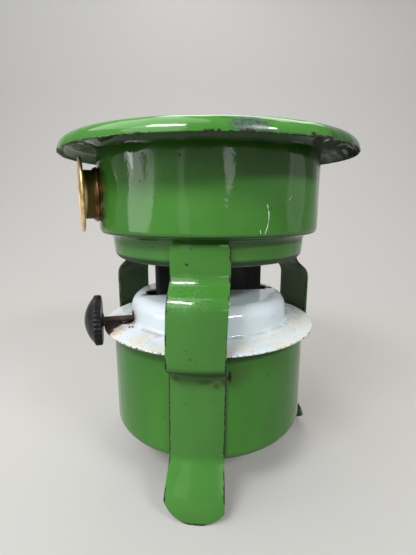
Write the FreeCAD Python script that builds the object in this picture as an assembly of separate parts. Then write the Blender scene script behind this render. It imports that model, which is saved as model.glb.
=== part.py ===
"""Small kerosene wick stove: a round tank on three strap legs, a flat-wick burner under a white
cover, and a lift-off drum with an inspection window and a pot grate.

Millimetres. The origin is on the floor, on the stove's axis, with +Z up and the front leg towards -Y.
An azimuth is measured from the front (-Y) towards +X.
"""
import FreeCAD, Part
import math
import os

from FreeCAD import Vector

# Fits and clearances
RUNNING_FIT = 0.05       # radial, a shaft in its bearing
SLIP_FIT = 0.3           # radial, a round piece that is pulled out by hand
SEAL_GAP = 0.02          # between a seal and the turning piece that presses on it
LOOSE_GAP = 0.3          # between pieces that only rest on each other

# Tank
TANK_RADIUS = 68.0
TANK_BOTTOM_Z = 29.0
TANK_RIM_Z = 98.0
TANK_SHEET = 1.0
TANK_CORNER = 6.0        # outside radius between floor and wall
TANK_TOP_Z = 95.0        # upper face of the plate that closes the tank
RIM_OVERLAP = 0.8        # how far the closing plate is turned out past the wall
RIM_BEND = 0.9

# Strap legs
LEG_NAMES = ("front", "right", "left")
STRAP_WIDTH = 33.0
STRAP_THICKNESS = 1.7
STRAP_BEND = 4.0         # mid-line radius of the bends
STRAP_SHOULDER_DROP = 15.6  # below the drum's floor, where the straight part turns in over the brim
STRAP_NECK_DROP = 5.0    # below the drum's floor, where the strap turns up again against the drum
STRAP_JOGGLE_HIGH_Z = 94.2
STRAP_JOGGLE_LOW_Z = 87.5
STRAP_TOP_CORNER = 2.5
STRAP_HEEL_Z = 32.0      # where the foot leaves the tank
FOOT_HEEL_BEND = 10.0
FOOT_KNEE_RADIUS = 81.4
FOOT_KNEE_Z = 9.5
FOOT_KNEE_BEND = 38.0
FOOT_TIP_RADIUS = 82.0
FOOT_WIDTH = 36.0
FOOT_FLARE_Z = 10.5      # where the rounded end of the foot begins
FOOT_FLARE_BEND = 38.0   # side edges, where the foot widens
FOOT_GROUND_OFF = 0.6    # how much of the rounded end is flat on the floor

# Burner cover
COVER_SHEET = 1.2
BRIM_RADIUS = 75.0
BRIM_EDGE_Z = 101.2       # upper face of the brim at its edge
BRIM_ROOT_Z = 104.7       # upper face of the brim at the crown
BRIM_FILLET = 2.5
CROWN_FOOT_RADIUS = 56.2
CROWN_HEAD_RADIUS = 55.0
CROWN_Z = 122.8          # upper face in the middle
CROWN_FALL = 1.8         # how much lower the crown is at its edge
CROWN_SHOULDER = 9.0
CROWN_SLOT_LENGTH = 91.0
CROWN_SLOT_WIDTH = 19.0
STRAP_TO_BRIM = 3.5      # free air between the brim's edge and the straps

# Burner: its own axes are "along" (towards the knob) and "across" (towards the front)
BURNER_AZIMUTH = -71.4
BURNER_PLATE_RADIUS = 52.0
BURNER_PLATE_THICKNESS = 1.5
GASKET_THICKNESS = 1.0
GASKET_RADIUS = 50.0
NECK_HOLE_RADIUS = 36.0
NECK_RING_HEIGHT = 4.0
SCREW_CIRCLE_RADIUS = 40.5
SCREW_COUNT = 4
SCREW_RADIUS = 1.5
SCREW_CLEARANCE = 0.2
SCREW_HEAD_RADIUS = 2.6
SCREW_HEAD_HEIGHT = 1.8
SCREW_LENGTH = 7.5
SCREW_SLOT_WIDTH = 0.8
SCREW_SLOT_DEPTH = 0.9
AIR_RING_RADIUS = 45.5
AIR_RING_SHEET = 0.6
AIR_HOLE_RADIUS = 1.6
AIR_HOLE_ROWS = 3
AIR_HOLES_PER_ROW = 36
AIR_ROW_PITCH = 5.0
AIR_FIRST_ROW_UP = 6.0

# Wick and wick tube
WICK_WIDTH = 60.0
WICK_THICKNESS = 3.0
WICK_TOP_Z = 133.0
WICK_FOOT_Z = 43.0
WICK_GAP = 0.3
WICK_TUBE_SHEET = 0.8
WICK_TUBE_TOP_Z = 130.0
WICK_TUBE_FOOT_Z = 68.0

# Winder: spindle, wheels, bearings and knob
SPINDLE_RADIUS = 2.0
SPINDLE_ACROSS = 9.0
SPINDLE_Z = 106.5
WHEEL_ALONG = 14.0       # each wheel's distance from the stove's axis
WHEEL_THICKNESS = 2.0
WHEEL_TEETH = 12
WHEEL_TOOTH_DEPTH = 1.6
WHEEL_SLOT_SIDE_GAP = 0.5
BEARING_ALONG = 22.0
BEARING_THICKNESS = 3.0
BEARING_WALL = 2.6
BEARING_FOOT_LENGTH = 9.0
BEARING_FOOT_THICKNESS = 1.5
CLIP_THICKNESS = 0.8
CLIP_RADIUS = 4.0
CLIP_OPENING = 2.6
SPINDLE_TAIL = 3.0       # spindle left beyond the clip
SPINDLE_HOLE_RADIUS = 4.0
KNOB_RADIUS = 16.8
KNOB_BAND = 4.8
KNOB_DOME = 6.6
KNOB_DOME_INSET = 1.2
KNOB_RIBS = 34
KNOB_RIB_GROOVE = 0.95
KNOB_HUB_RADIUS = 4.4
KNOB_HUB_HEIGHT = 1.1
KNOB_TO_BRIM = 0.6
INSERT_RADIUS = 3.2
INSERT_LENGTH = 8.0

# Burner housing
HOUSING_LENGTH = 75.6
HOUSING_WIDTH = 18.0
HOUSING_SHEET = 0.8
HOUSING_CORNER = 2.0
HOUSING_TOP_RISE = 8.4   # how far the housing stands through the drum's floor
HOUSING_FOOT_Z = 116.0
HOUSING_TAB_WIDTH = 10.0
HOUSING_TAB_ACROSS = -2.0
DEFLECTOR_Z = 135.0
DEFLECTOR_HEIGHT = 6.0
DEFLECTOR_SHEET = 0.6
DEFLECTOR_SLOT_WIDTH = 7.0
DEFLECTOR_SLOT_LENGTH = 63.0

# Drum
DRUM_SHEET = 1.2
DRUM_FLOOR_Z = 147.6     # underside
STEP_HEAD_RADIUS = 66.0
STEP_TAPER = 1.4         # how much narrower the step is at its floor
STEP_RISE = 16.8         # from the floor up to the underside of the step out to the drum's wall
STEP_CORNER = 6.0
STEP_FILLET = 4.0        # outside, and the seat of the three straps
DRUM_RADIUS = 74.0
DRUM_CORNER = 3.6
DRUM_WALL_HEIGHT = 57.1  # from the step up to the flange's top
FLANGE_LIP_DROP = 8.6    # from the flange's top down to its cut edge
FLANGE_RADIUS = 96.5
FLANGE_ROLL = 8.2        # outside radius of the rolled edge
FLANGE_THROAT = 7.0      # outside radius between wall and flange
STRAP_SEAT_GAP = 0.15    # between a strap's tip and the fillet that rests on it
STRAP_SIDE_PLAY = 0.15   # added to the seat gap beside the step's wall
DRUM_SLOT_GAP = 3.0      # free space round the housing in the drum's floor

# Inspection window
WINDOW_AZIMUTH = -64.0
WINDOW_TO_LIP = 1.5      # free air between the frame's rim and the height of the flange's cut edge
WINDOW_TO_STEP = 1.4     # height of the frame's rim above the drum's step
WINDOW_FLANGE_REACH = 6.0  # from the hole's edge out to the middle of the frame's rim
SOCKET_WALL = 0.7
SOCKET_INSIDE = 5.0      # distances along the window's axis, from the drum's outer radius
SOCKET_OUTSIDE = 3.0
SOCKET_BEAD = 0.9
SOCKET_BEAD_OUT = 1.2
WINDOW_NECK_WALL = 0.8
WINDOW_NECK_INSIDE = 3.5
WINDOW_STANDS_OUT = 10.6  # outer side of the frame's flange
WINDOW_FLANGE_THICKNESS = 1.2
WINDOW_RIM = 1.0         # radius of the round rim
WINDOW_PANE_LEDGE = 1.6  # how far the flange reaches in front of the pane
MICA_THICKNESS = 0.4
PANE_RING_THICKNESS = 1.2
PANE_RING_WALL = 1.8

# Pot grate
GRATE_ABOVE_FLANGE = 2.0
GRATE_BAR_RADIUS = 2.4
GRATE_SPOKES = 6
GRATE_SPOKE_WIDTH = 4.0
GRATE_SPOKE_HEIGHT = 7.0
GRATE_HUB_RADIUS = 24.0
GRATE_HUB_WALL = 4.0

# Filler on the rear wall
FILLER_Z = 70.0
FILLER_TILT = 25.0       # above the horizontal
FILLER_RADIUS = 9.0
FILLER_WALL = 1.8
FILLER_LENGTH = 14.0
CAP_GASKET_THICKNESS = 1.2
CAP_RADIUS = 12.0
CAP_TOP = 2.0
CAP_SKIRT = 8.9
CAP_GROOVES = 24
CAP_GROOVE_RADIUS = 0.7

UP = Vector(0, 0, 1)
ORIGIN = Vector(0, 0, 0)


# Geometry helpers

def direction(azimuth, elevation=0.0):
    """Unit vector at an azimuth from the front (-Y) towards +X, and an elevation above the horizon."""
    flat = math.cos(math.radians(elevation))
    turn = math.radians(azimuth)
    return Vector(math.sin(turn) * flat, -math.cos(turn) * flat, math.sin(math.radians(elevation)))


def offset_corners(corners, distance):
    """Corners of an open path in the (radius, height) plane, moved sideways by a distance to its left."""
    legs = []
    for start, end in zip(corners, corners[1:]):
        along = (end - start).normalize()
        side = Vector(-along.z, 0, along.x) * distance
        legs.append((start + side, along))
    moved = [legs[0][0]]
    for (first, along), (second, onwards) in zip(legs, legs[1:]):
        across = along.x * onwards.z - along.z * onwards.x
        gap = second - first
        reach = (gap.x * onwards.z - gap.z * onwards.x) / across
        moved.append(first + along * reach)
    last_start, last_along = legs[-1]
    length = (corners[-1] - corners[-2]).Length
    side = last_start - corners[-2]
    moved.append(corners[-2] + last_along * length + side)
    return moved


def rounded_edges(corners, radii):
    """Straight edges joined by tangent arcs; radii holds one value for each inner corner."""
    edges = []
    here = corners[0]
    for before, corner, after, radius in zip(corners, corners[1:], corners[2:], radii):
        back = (before - corner).normalize()
        ahead = (after - corner).normalize()
        half = back.getAngle(ahead) / 2
        reach = radius / math.tan(half)
        start = corner + back * reach
        end = corner + ahead * reach
        middle_way = (back + ahead).normalize()
        crest = corner + middle_way * (radius / math.sin(half) - radius)
        if (start - here).Length > 1e-6:
            edges.append(Part.LineSegment(here, start).toShape())
        edges.append(Part.Arc(start, crest, end).toShape())
        here = end
    edges.append(Part.LineSegment(here, corners[-1]).toShape())
    return edges


def sheet_section(corners, radii, thickness, round_start=False):
    """Face of a bent sheet about a mid-line, with a rounded edge at its end and, if asked, at its start."""
    points = [Vector(radius, 0, height) for radius, height in corners]
    half = thickness / 2
    sides = []
    for distance in (half, -half):
        side_radii = []
        for before, corner, after, radius in zip(points, points[1:], points[2:], radii):
            arriving = corner - before
            leaving = after - corner
            turns_left = arriving.x * leaving.z - arriving.z * leaving.x > 0
            side_radii.append(radius - distance if turns_left else radius + distance)
        sides.append(rounded_edges(offset_corners(points, distance), side_radii))
    left, right = sides
    left_end = left[-1].valueAt(left[-1].LastParameter)
    right_end = right[-1].valueAt(right[-1].LastParameter)
    left_start = left[0].valueAt(left[0].FirstParameter)
    right_start = right[0].valueAt(right[0].FirstParameter)
    tip = points[-1] + (points[-1] - points[-2]).normalize() * half
    edges = left + right + [Part.Arc(left_end, tip, right_end).toShape()]
    if round_start:
        heel = points[0] + (points[0] - points[1]).normalize() * half
        edges.append(Part.Arc(left_start, heel, right_start).toShape())
    else:
        edges.append(Part.LineSegment(left_start, right_start).toShape())
    return Part.Face(Part.Wire(Part.__sortEdges__(edges)))


def turned(face, angle=360.0):
    """Solid of revolution of a section about the stove's axis."""
    return face.revolve(ORIGIN, UP, angle)


def tube(outer, inner, length, base=ORIGIN, axis=UP):
    """Round tube from a base point along an axis."""
    return Part.makeCylinder(outer, length, base, axis).cut(Part.makeCylinder(inner, length, base, axis))


def burner_axes():
    """Unit vectors of the burner: along its spindle towards the knob, and across it towards the front."""
    along = direction(BURNER_AZIMUTH)
    across = UP.cross(along)
    if across.y > 0:
        across = across * -1
    return along, across


def burner_point(along_distance, across_distance, height):
    """Point in the stove's frame from distances along and across the burner."""
    along, across = burner_axes()
    return along * along_distance + across * across_distance + UP * height


def burner_block(length, width, low, high, along_centre=0.0, across_centre=0.0):
    """Upright block, centred at a place in the burner's own axes and turned with it."""
    block = Part.makeBox(length, width, high - low, Vector(-length / 2, -width / 2, low))
    along, across = burner_axes()
    block.rotate(ORIGIN, UP, math.degrees(math.atan2(along.y, along.x)))
    block.translate(along * along_centre + across * across_centre)
    return block


def spindle_rod(radius, start, end):
    """Cylinder about the spindle's axis between two distances along the burner."""
    along, _ = burner_axes()
    return Part.makeCylinder(radius, end - start, burner_point(start, SPINDLE_ACROSS, SPINDLE_Z), along)


# Heights and radii that follow from the driving dimensions

TANK_TOP_UNDERSIDE_Z = TANK_TOP_Z - TANK_SHEET
STRAP_SHOULDER_Z = DRUM_FLOOR_Z - STRAP_SHOULDER_DROP
STRAP_NECK_Z = DRUM_FLOOR_Z - STRAP_NECK_DROP
HOUSING_TOP_Z = DRUM_FLOOR_Z + HOUSING_TOP_RISE
STEP_Z = DRUM_FLOOR_Z + STEP_RISE
STEP_FOOT_RADIUS = STEP_HEAD_RADIUS - STEP_TAPER
FLANGE_TOP_Z = STEP_Z + DRUM_WALL_HEIGHT
FLANGE_LIP_Z = FLANGE_TOP_Z - FLANGE_LIP_DROP
GASKET_TOP_Z = TANK_TOP_Z + GASKET_THICKNESS
PLATE_TOP_Z = GASKET_TOP_Z + BURNER_PLATE_THICKNESS
WHEEL_RADIUS = SPINDLE_ACROSS - WICK_THICKNESS / 2 - LOOSE_GAP
CLIP_START = -BEARING_ALONG - BEARING_THICKNESS / 2 - LOOSE_GAP - CLIP_THICKNESS
SPINDLE_START = CLIP_START - SPINDLE_TAIL
KNOB_START = BRIM_RADIUS + KNOB_TO_BRIM
STRAP_OUTER_MID = BRIM_RADIUS + STRAP_TO_BRIM + STRAP_THICKNESS / 2
STRAP_NECK_MID = STEP_HEAD_RADIUS + STRAP_SEAT_GAP + STRAP_SIDE_PLAY + STRAP_THICKNESS / 2
STRAP_TANK_MID = TANK_RADIUS + STRAP_THICKNESS / 2
WINDOW_OUTER_RADIUS = (FLANGE_LIP_Z - WINDOW_TO_LIP - STEP_Z - WINDOW_TO_STEP) / 2
WINDOW_Z = STEP_Z + WINDOW_TO_STEP + WINDOW_OUTER_RADIUS
WINDOW_FLANGE_RADIUS = WINDOW_OUTER_RADIUS - WINDOW_RIM
WINDOW_HOLE_RADIUS = WINDOW_FLANGE_RADIUS - WINDOW_FLANGE_REACH
WINDOW_NECK_RADIUS = WINDOW_HOLE_RADIUS - SOCKET_WALL - SLIP_FIT
WINDOW_BORE_RADIUS = WINDOW_NECK_RADIUS - WINDOW_NECK_WALL
SOCKET_INNER_END = DRUM_RADIUS - SOCKET_INSIDE
SOCKET_OUTER_END = DRUM_RADIUS + SOCKET_OUTSIDE
SOCKET_BEAD_AT = DRUM_RADIUS + SOCKET_BEAD_OUT
WINDOW_NECK_END = DRUM_RADIUS - WINDOW_NECK_INSIDE
WINDOW_FACE = DRUM_RADIUS + WINDOW_STANDS_OUT
GRATE_Z = FLANGE_TOP_Z + GRATE_ABOVE_FLANGE


def strap_tip_z():
    """Height of the centre of a strap's rounded tip, which the fillet under the drum's step rests on."""
    fillet_centre_radius = STEP_HEAD_RADIUS + STEP_FILLET
    reach = STEP_FILLET - STRAP_SEAT_GAP - STRAP_THICKNESS / 2
    rise = math.sqrt(reach ** 2 - (fillet_centre_radius - STRAP_NECK_MID) ** 2)
    return STEP_Z - STEP_FILLET + rise


# Tank

def filler_axis():
    """Start of the filler on the rear wall, and its outward direction."""
    return Vector(0, TANK_RADIUS, FILLER_Z), direction(180.0, FILLER_TILT)


def filler_point(distance):
    start, outward = filler_axis()
    return start + outward * distance


def make_tank_shell():
    wall = TANK_RADIUS - TANK_SHEET / 2
    floor = TANK_BOTTOM_Z + TANK_SHEET / 2
    rim = TANK_RIM_Z - TANK_SHEET
    corners = [(0, floor), (wall, floor), (wall, rim)]
    shell = turned(sheet_section(corners, [TANK_CORNER - TANK_SHEET / 2], TANK_SHEET))
    _, outward = filler_axis()
    hole = Part.makeCylinder(FILLER_RADIUS, 2 * FILLER_LENGTH, filler_point(-FILLER_LENGTH), outward)
    return shell.cut(hole)


def make_tank_top():
    plate = TANK_TOP_Z - TANK_SHEET / 2
    upstand = TANK_RADIUS - TANK_SHEET * 1.5 - LOOSE_GAP
    rim = TANK_RIM_Z
    lip = TANK_RADIUS + RIM_OVERLAP - TANK_SHEET / 2
    corners = [(NECK_HOLE_RADIUS, plate), (upstand, plate), (upstand, rim), (lip, rim)]
    top = turned(sheet_section(corners, [RIM_BEND, RIM_BEND], TANK_SHEET))
    for centre in screw_centres(0.0):
        top = top.cut(Part.makeCylinder(SCREW_RADIUS + SCREW_CLEARANCE, TANK_TOP_Z, centre, UP))
    return top


def make_filler_neck():
    start, outward = filler_axis()
    inside = filler_point(-FILLER_LENGTH)
    neck = tube(FILLER_RADIUS, FILLER_RADIUS - FILLER_WALL, 2 * FILLER_LENGTH, inside, outward)
    room = Part.makeCylinder(TANK_RADIUS - TANK_SHEET, TANK_RIM_Z - TANK_BOTTOM_Z, UP * TANK_BOTTOM_Z, UP)
    return neck.cut(room)


def make_cap_gasket():
    _, outward = filler_axis()
    return tube(FILLER_RADIUS, FILLER_RADIUS - FILLER_WALL, CAP_GASKET_THICKNESS,
                filler_point(FILLER_LENGTH), outward)


def make_filler_cap():
    _, outward = filler_axis()
    top_inside = FILLER_LENGTH + CAP_GASKET_THICKNESS + SEAL_GAP
    low = top_inside - CAP_SKIRT
    cap = Part.makeCylinder(CAP_RADIUS, CAP_SKIRT + CAP_TOP, filler_point(low), outward)
    outer_rim = [edge for edge in cap.Edges if is_round_end(edge, top_inside + CAP_TOP)]
    cap = cap.makeFillet(CAP_TOP / 2, outer_rim)
    cap = cap.cut(Part.makeCylinder(FILLER_RADIUS + SLIP_FIT, CAP_SKIRT, filler_point(low), outward))
    side = Vector(1, 0, 0)
    grooves = []
    for index in range(CAP_GROOVES):
        foot = filler_point(low) + side * CAP_RADIUS
        groove = Part.makeCylinder(CAP_GROOVE_RADIUS, CAP_SKIRT, foot, outward)
        groove.rotate(filler_point(0), outward, index * 360.0 / CAP_GROOVES)
        grooves.append(groove)
    return cap.cut(grooves)


def is_round_end(edge, distance):
    """True for the circular edge at a distance along the filler's axis."""
    centre = getattr(edge.Curve, "Center", None)
    return centre is not None and (centre - filler_point(distance)).Length < 1e-6


# Legs

def make_leg(azimuth):
    """One strap: foot, tank wall, joggle out round the brim, shoulder, and neck against the drum."""
    corners = [
        (STRAP_NECK_MID, strap_tip_z()),
        (STRAP_NECK_MID, STRAP_NECK_Z),
        (STRAP_OUTER_MID, STRAP_SHOULDER_Z),
        (STRAP_OUTER_MID, STRAP_JOGGLE_HIGH_Z),
        (STRAP_TANK_MID, STRAP_JOGGLE_LOW_Z),
        (STRAP_TANK_MID, STRAP_HEEL_Z),
        (FOOT_KNEE_RADIUS, FOOT_KNEE_Z),
        (FOOT_TIP_RADIUS, -STRAP_THICKNESS),
    ]
    bends = [STRAP_BEND] * 4 + [FOOT_HEEL_BEND, FOOT_KNEE_BEND]
    sweep = 2 * math.degrees(math.asin(FOOT_WIDTH / 2 / STEP_HEAD_RADIUS)) + 4
    band = turned(sheet_section(corners, bends, STRAP_THICKNESS, round_start=True), sweep)
    band.rotate(ORIGIN, UP, -90 - sweep / 2)
    leg = band.common(leg_outline())
    leg.rotate(ORIGIN, UP, azimuth)
    return leg


def leg_outline():
    """Prism of the strap's front view: rounded top corners, flared foot with a rounded end."""
    half = STRAP_WIDTH / 2
    foot = FOOT_WIDTH / 2
    top = strap_tip_z() + STRAP_THICKNESS / 2
    reach = FLANGE_RADIUS
    corners = [
        Vector(-foot, -reach, FOOT_FLARE_Z),
        Vector(-half, -reach, STRAP_HEEL_Z),
        Vector(-half, -reach, top),
        Vector(half, -reach, top),
        Vector(half, -reach, STRAP_HEEL_Z),
        Vector(foot, -reach, FOOT_FLARE_Z),
    ]
    sides = rounded_edges(corners, [FOOT_FLARE_BEND, STRAP_TOP_CORNER, STRAP_TOP_CORNER, FOOT_FLARE_BEND])
    toe = Part.Arc(corners[-1], Vector(0, -reach, -FOOT_GROUND_OFF), corners[0]).toShape()
    prism = Part.Face(Part.Wire(sides + [toe])).extrude(Vector(0, reach, 0))
    below = Part.makeBox(FOOT_WIDTH, reach, FOOT_GROUND_OFF * 2,
                         Vector(-foot, -reach, -FOOT_GROUND_OFF * 2))
    return prism.cut(below)


# Burner

def screw_centres(height):
    """Places of the burner screws, halfway between the burner's own axes."""
    centres = []
    for index in range(SCREW_COUNT):
        azimuth = BURNER_AZIMUTH + (index + 0.5) * 360.0 / SCREW_COUNT
        centres.append(direction(azimuth) * SCREW_CIRCLE_RADIUS + UP * height)
    return centres


def make_neck_ring():
    low = TANK_TOP_UNDERSIDE_Z - NECK_RING_HEIGHT
    ring = tube(GASKET_RADIUS, NECK_HOLE_RADIUS, NECK_RING_HEIGHT, UP * low)
    for centre in screw_centres(low):
        ring = ring.cut(Part.makeCylinder(SCREW_RADIUS, NECK_RING_HEIGHT, centre, UP))
    return ring


def make_burner_gasket():
    ring = tube(GASKET_RADIUS, NECK_HOLE_RADIUS, GASKET_THICKNESS, UP * TANK_TOP_Z)
    for centre in screw_centres(TANK_TOP_Z):
        hole = Part.makeCylinder(SCREW_RADIUS + SCREW_CLEARANCE, GASKET_THICKNESS, centre, UP)
        ring = ring.cut(hole)
    return ring


def wick_tube_outline(low, high, grow=0.0):
    """Block of the wick tube's outer shape."""
    wall = 2 * (WICK_GAP + WICK_TUBE_SHEET)
    return burner_block(WICK_WIDTH + wall + grow, WICK_THICKNESS + wall + grow, low, high)


def make_burner_plate():
    plate = Part.makeCylinder(BURNER_PLATE_RADIUS, BURNER_PLATE_THICKNESS, UP * GASKET_TOP_Z, UP)
    plate = plate.cut(wick_tube_outline(GASKET_TOP_Z, PLATE_TOP_Z))
    for centre in screw_centres(GASKET_TOP_Z):
        hole = Part.makeCylinder(SCREW_RADIUS + SCREW_CLEARANCE, BURNER_PLATE_THICKNESS, centre, UP)
        plate = plate.cut(hole)
    return plate


def make_burner_screws():
    """Four slotted screws as one group of separate solids."""
    screws = []
    along, _ = burner_axes()
    for centre in screw_centres(PLATE_TOP_Z):
        head = Part.makeCylinder(SCREW_HEAD_RADIUS, SCREW_HEAD_HEIGHT, centre, UP)
        shank = Part.makeCylinder(SCREW_RADIUS, SCREW_LENGTH, centre - UP * SCREW_LENGTH, UP)
        slot = burner_block(3 * SCREW_HEAD_RADIUS, SCREW_SLOT_WIDTH,
                            PLATE_TOP_Z + SCREW_HEAD_HEIGHT - SCREW_SLOT_DEPTH,
                            PLATE_TOP_Z + SCREW_HEAD_HEIGHT)
        slot.translate(Vector(centre.x, centre.y, 0))
        screws.append(head.fuse(shank).cut(slot).removeSplitter())
    return Part.makeCompound(screws)


def crown_slope():
    """Angle at which the crown falls from its middle to its edge."""
    return math.atan2(CROWN_FALL, CROWN_HEAD_RADIUS - COVER_SHEET / 2)


def crown_middle_z(radius):
    """Height of the crown's mid-line at a radius inside its shoulder."""
    return CROWN_Z - COVER_SHEET / 2 - radius * math.tan(crown_slope())


def make_air_ring():
    """Perforated ring under the cover's crown, with a hole for the spindle."""
    height = crown_middle_z(AIR_RING_RADIUS) - COVER_SHEET / 2 / math.cos(crown_slope()) - PLATE_TOP_Z
    ring = tube(AIR_RING_RADIUS, AIR_RING_RADIUS - AIR_RING_SHEET, height, UP * PLATE_TOP_Z)
    pitch = 360.0 / AIR_HOLES_PER_ROW
    tools = [spindle_rod(SPINDLE_HOLE_RADIUS, 0, AIR_RING_RADIUS + SPINDLE_HOLE_RADIUS)]
    for row in range(AIR_HOLE_ROWS):
        level = UP * (PLATE_TOP_Z + AIR_FIRST_ROW_UP + row * AIR_ROW_PITCH)
        for index in range(AIR_HOLES_PER_ROW):
            outward = direction((index + 0.5 * (row % 2)) * pitch)
            tools.append(Part.makeCylinder(AIR_HOLE_RADIUS, SPINDLE_HOLE_RADIUS,
                                           level + outward * (AIR_RING_RADIUS - AIR_HOLE_RADIUS), outward))
    return largest_solid(ring.cut(tools))


def largest_solid(shape):
    """The main solid of a cut shape, without crumbs between holes that run together."""
    return max(shape.Solids, key=lambda solid: solid.Volume)


def make_burner_cover():
    half = COVER_SHEET / 2
    inside_slot = CROWN_SLOT_WIDTH / 4
    corners = [
        (inside_slot, crown_middle_z(inside_slot)),
        (CROWN_HEAD_RADIUS - half, crown_middle_z(CROWN_HEAD_RADIUS - half)),
        (CROWN_FOOT_RADIUS - half, BRIM_ROOT_Z - half),
        (BRIM_RADIUS - half, BRIM_EDGE_Z - half),
    ]
    bends = [CROWN_SHOULDER - half, BRIM_FILLET + half]
    cover = turned(sheet_section(corners, bends, COVER_SHEET))
    straight = CROWN_SLOT_LENGTH - CROWN_SLOT_WIDTH
    slot = burner_block(straight, CROWN_SLOT_WIDTH, SPINDLE_Z, CROWN_Z)
    for end in (-straight / 2, straight / 2):
        slot = slot.fuse(Part.makeCylinder(CROWN_SLOT_WIDTH / 2, CROWN_Z - SPINDLE_Z,
                                           burner_point(end, 0, SPINDLE_Z), UP))
    return cover.cut(slot).cut(spindle_rod(SPINDLE_HOLE_RADIUS, SPINDLE_HOLE_RADIUS, KNOB_START))


def make_wick_tube():
    cavity = burner_block(WICK_WIDTH + 2 * WICK_GAP, WICK_THICKNESS + 2 * WICK_GAP,
                          WICK_TUBE_FOOT_Z, WICK_TUBE_TOP_Z)
    shell = wick_tube_outline(WICK_TUBE_FOOT_Z, WICK_TUBE_TOP_Z).cut(cavity)
    width = WHEEL_THICKNESS + 2 * WHEEL_SLOT_SIDE_GAP
    inner_wall = WICK_THICKNESS / 2 + WICK_GAP
    low = SPINDLE_Z - WHEEL_RADIUS
    high = SPINDLE_Z + WHEEL_RADIUS
    for along in (-WHEEL_ALONG, WHEEL_ALONG):
        wall = inner_wall + WICK_TUBE_SHEET / 2
        shell = shell.cut(burner_block(width, WICK_TUBE_SHEET, low, high, along, wall))
    return shell


def make_wick():
    return burner_block(WICK_WIDTH, WICK_THICKNESS, WICK_FOOT_Z, WICK_TOP_Z)


def make_burner_housing():
    """Open black box round the flame, standing on a tab at each end."""
    inner_length = HOUSING_LENGTH - 2 * HOUSING_SHEET
    inner_width = HOUSING_WIDTH - 2 * HOUSING_SHEET
    outer = rounded_burner_block(HOUSING_LENGTH, HOUSING_WIDTH, HOUSING_FOOT_Z, HOUSING_TOP_Z, HOUSING_CORNER)
    inner = rounded_burner_block(inner_length, inner_width, HOUSING_FOOT_Z, HOUSING_TOP_Z,
                                 HOUSING_CORNER - HOUSING_SHEET)
    housing = outer.cut(inner)
    for side in (-1, 1):
        centre = side * (HOUSING_LENGTH - HOUSING_SHEET) / 2
        tab = burner_block(HOUSING_SHEET, HOUSING_TAB_WIDTH, PLATE_TOP_Z, HOUSING_FOOT_Z,
                           centre, HOUSING_TAB_ACROSS)
        housing = housing.fuse(tab)
    return housing.removeSplitter()


def rounded_burner_block(length, width, low, high, corner):
    """Burner block with rounded upright edges."""
    block = burner_block(length, width, low, high)
    upright = [edge for edge in block.Edges if abs(edge.tangentAt(edge.FirstParameter).z) > 0.99]
    return block.makeFillet(corner, upright)


def make_flame_deflector():
    """Funnel that narrows from the housing's walls to a slot over the wick."""
    foot_length = HOUSING_LENGTH - 2 * HOUSING_SHEET - 2 * HOUSING_CORNER
    foot_width = HOUSING_WIDTH - 2 * HOUSING_SHEET
    outer = funnel(foot_length, foot_width, DEFLECTOR_SHEET)
    inner = funnel(foot_length - 2 * DEFLECTOR_SHEET, foot_width - 2 * DEFLECTOR_SHEET, 0.0)
    return outer.cut(inner)


def funnel(foot_length, foot_width, grow):
    """Loft from a foot rectangle up to the flame slot, grown by a sheet's thickness."""
    sections = []
    slot_length = DEFLECTOR_SLOT_LENGTH + 2 * grow
    slot_width = DEFLECTOR_SLOT_WIDTH + 2 * grow
    levels = (
        (foot_length, foot_width, DEFLECTOR_Z),
        (slot_length, slot_width, DEFLECTOR_Z + DEFLECTOR_HEIGHT),
    )
    for length, width, level in levels:
        corners = []
        for along, across in ((-1, -1), (1, -1), (1, 1), (-1, 1), (-1, -1)):
            corners.append(burner_point(along * length / 2, across * width / 2, level))
        sections.append(Part.makePolygon(corners))
    return Part.makeLoft(sections, True, True)


# Winder

def make_spindle():
    return spindle_rod(SPINDLE_RADIUS, SPINDLE_START, KNOB_START + INSERT_LENGTH)


def make_bearing(along_centre):
    """Bracket on the burner plate with a round head about the spindle and a foot."""
    start = along_centre - BEARING_THICKNESS / 2
    end = along_centre + BEARING_THICKNESS / 2
    head = SPINDLE_RADIUS + BEARING_WALL
    bracket = spindle_rod(head, start, end)
    post = burner_block(BEARING_THICKNESS, 2 * head, PLATE_TOP_Z, SPINDLE_Z, along_centre, SPINDLE_ACROSS)
    foot = burner_block(BEARING_FOOT_LENGTH, 2 * head, PLATE_TOP_Z, PLATE_TOP_Z + BEARING_FOOT_THICKNESS,
                        along_centre, SPINDLE_ACROSS)
    bracket = bracket.fuse([post, foot]).removeSplitter()
    return bracket.cut(spindle_rod(SPINDLE_RADIUS + RUNNING_FIT, start, end))


def make_wick_wheel(along_centre):
    """Star wheel on the spindle, with pointed teeth."""
    along, across = burner_axes()
    start = burner_point(along_centre - WHEEL_THICKNESS / 2, SPINDLE_ACROSS, SPINDLE_Z)
    corners = []
    for index in range(2 * WHEEL_TEETH):
        reach = WHEEL_RADIUS - WHEEL_TOOTH_DEPTH * (index % 2)
        turn = math.pi * index / WHEEL_TEETH
        corners.append(start + across * (reach * math.cos(turn)) + UP * (reach * math.sin(turn)))
    corners.append(corners[0])
    star = Part.Face(Part.makePolygon(corners)).extrude(along * WHEEL_THICKNESS)
    bore = spindle_rod(SPINDLE_RADIUS, along_centre - WHEEL_THICKNESS, along_centre + WHEEL_THICKNESS)
    return star.cut(bore)


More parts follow.
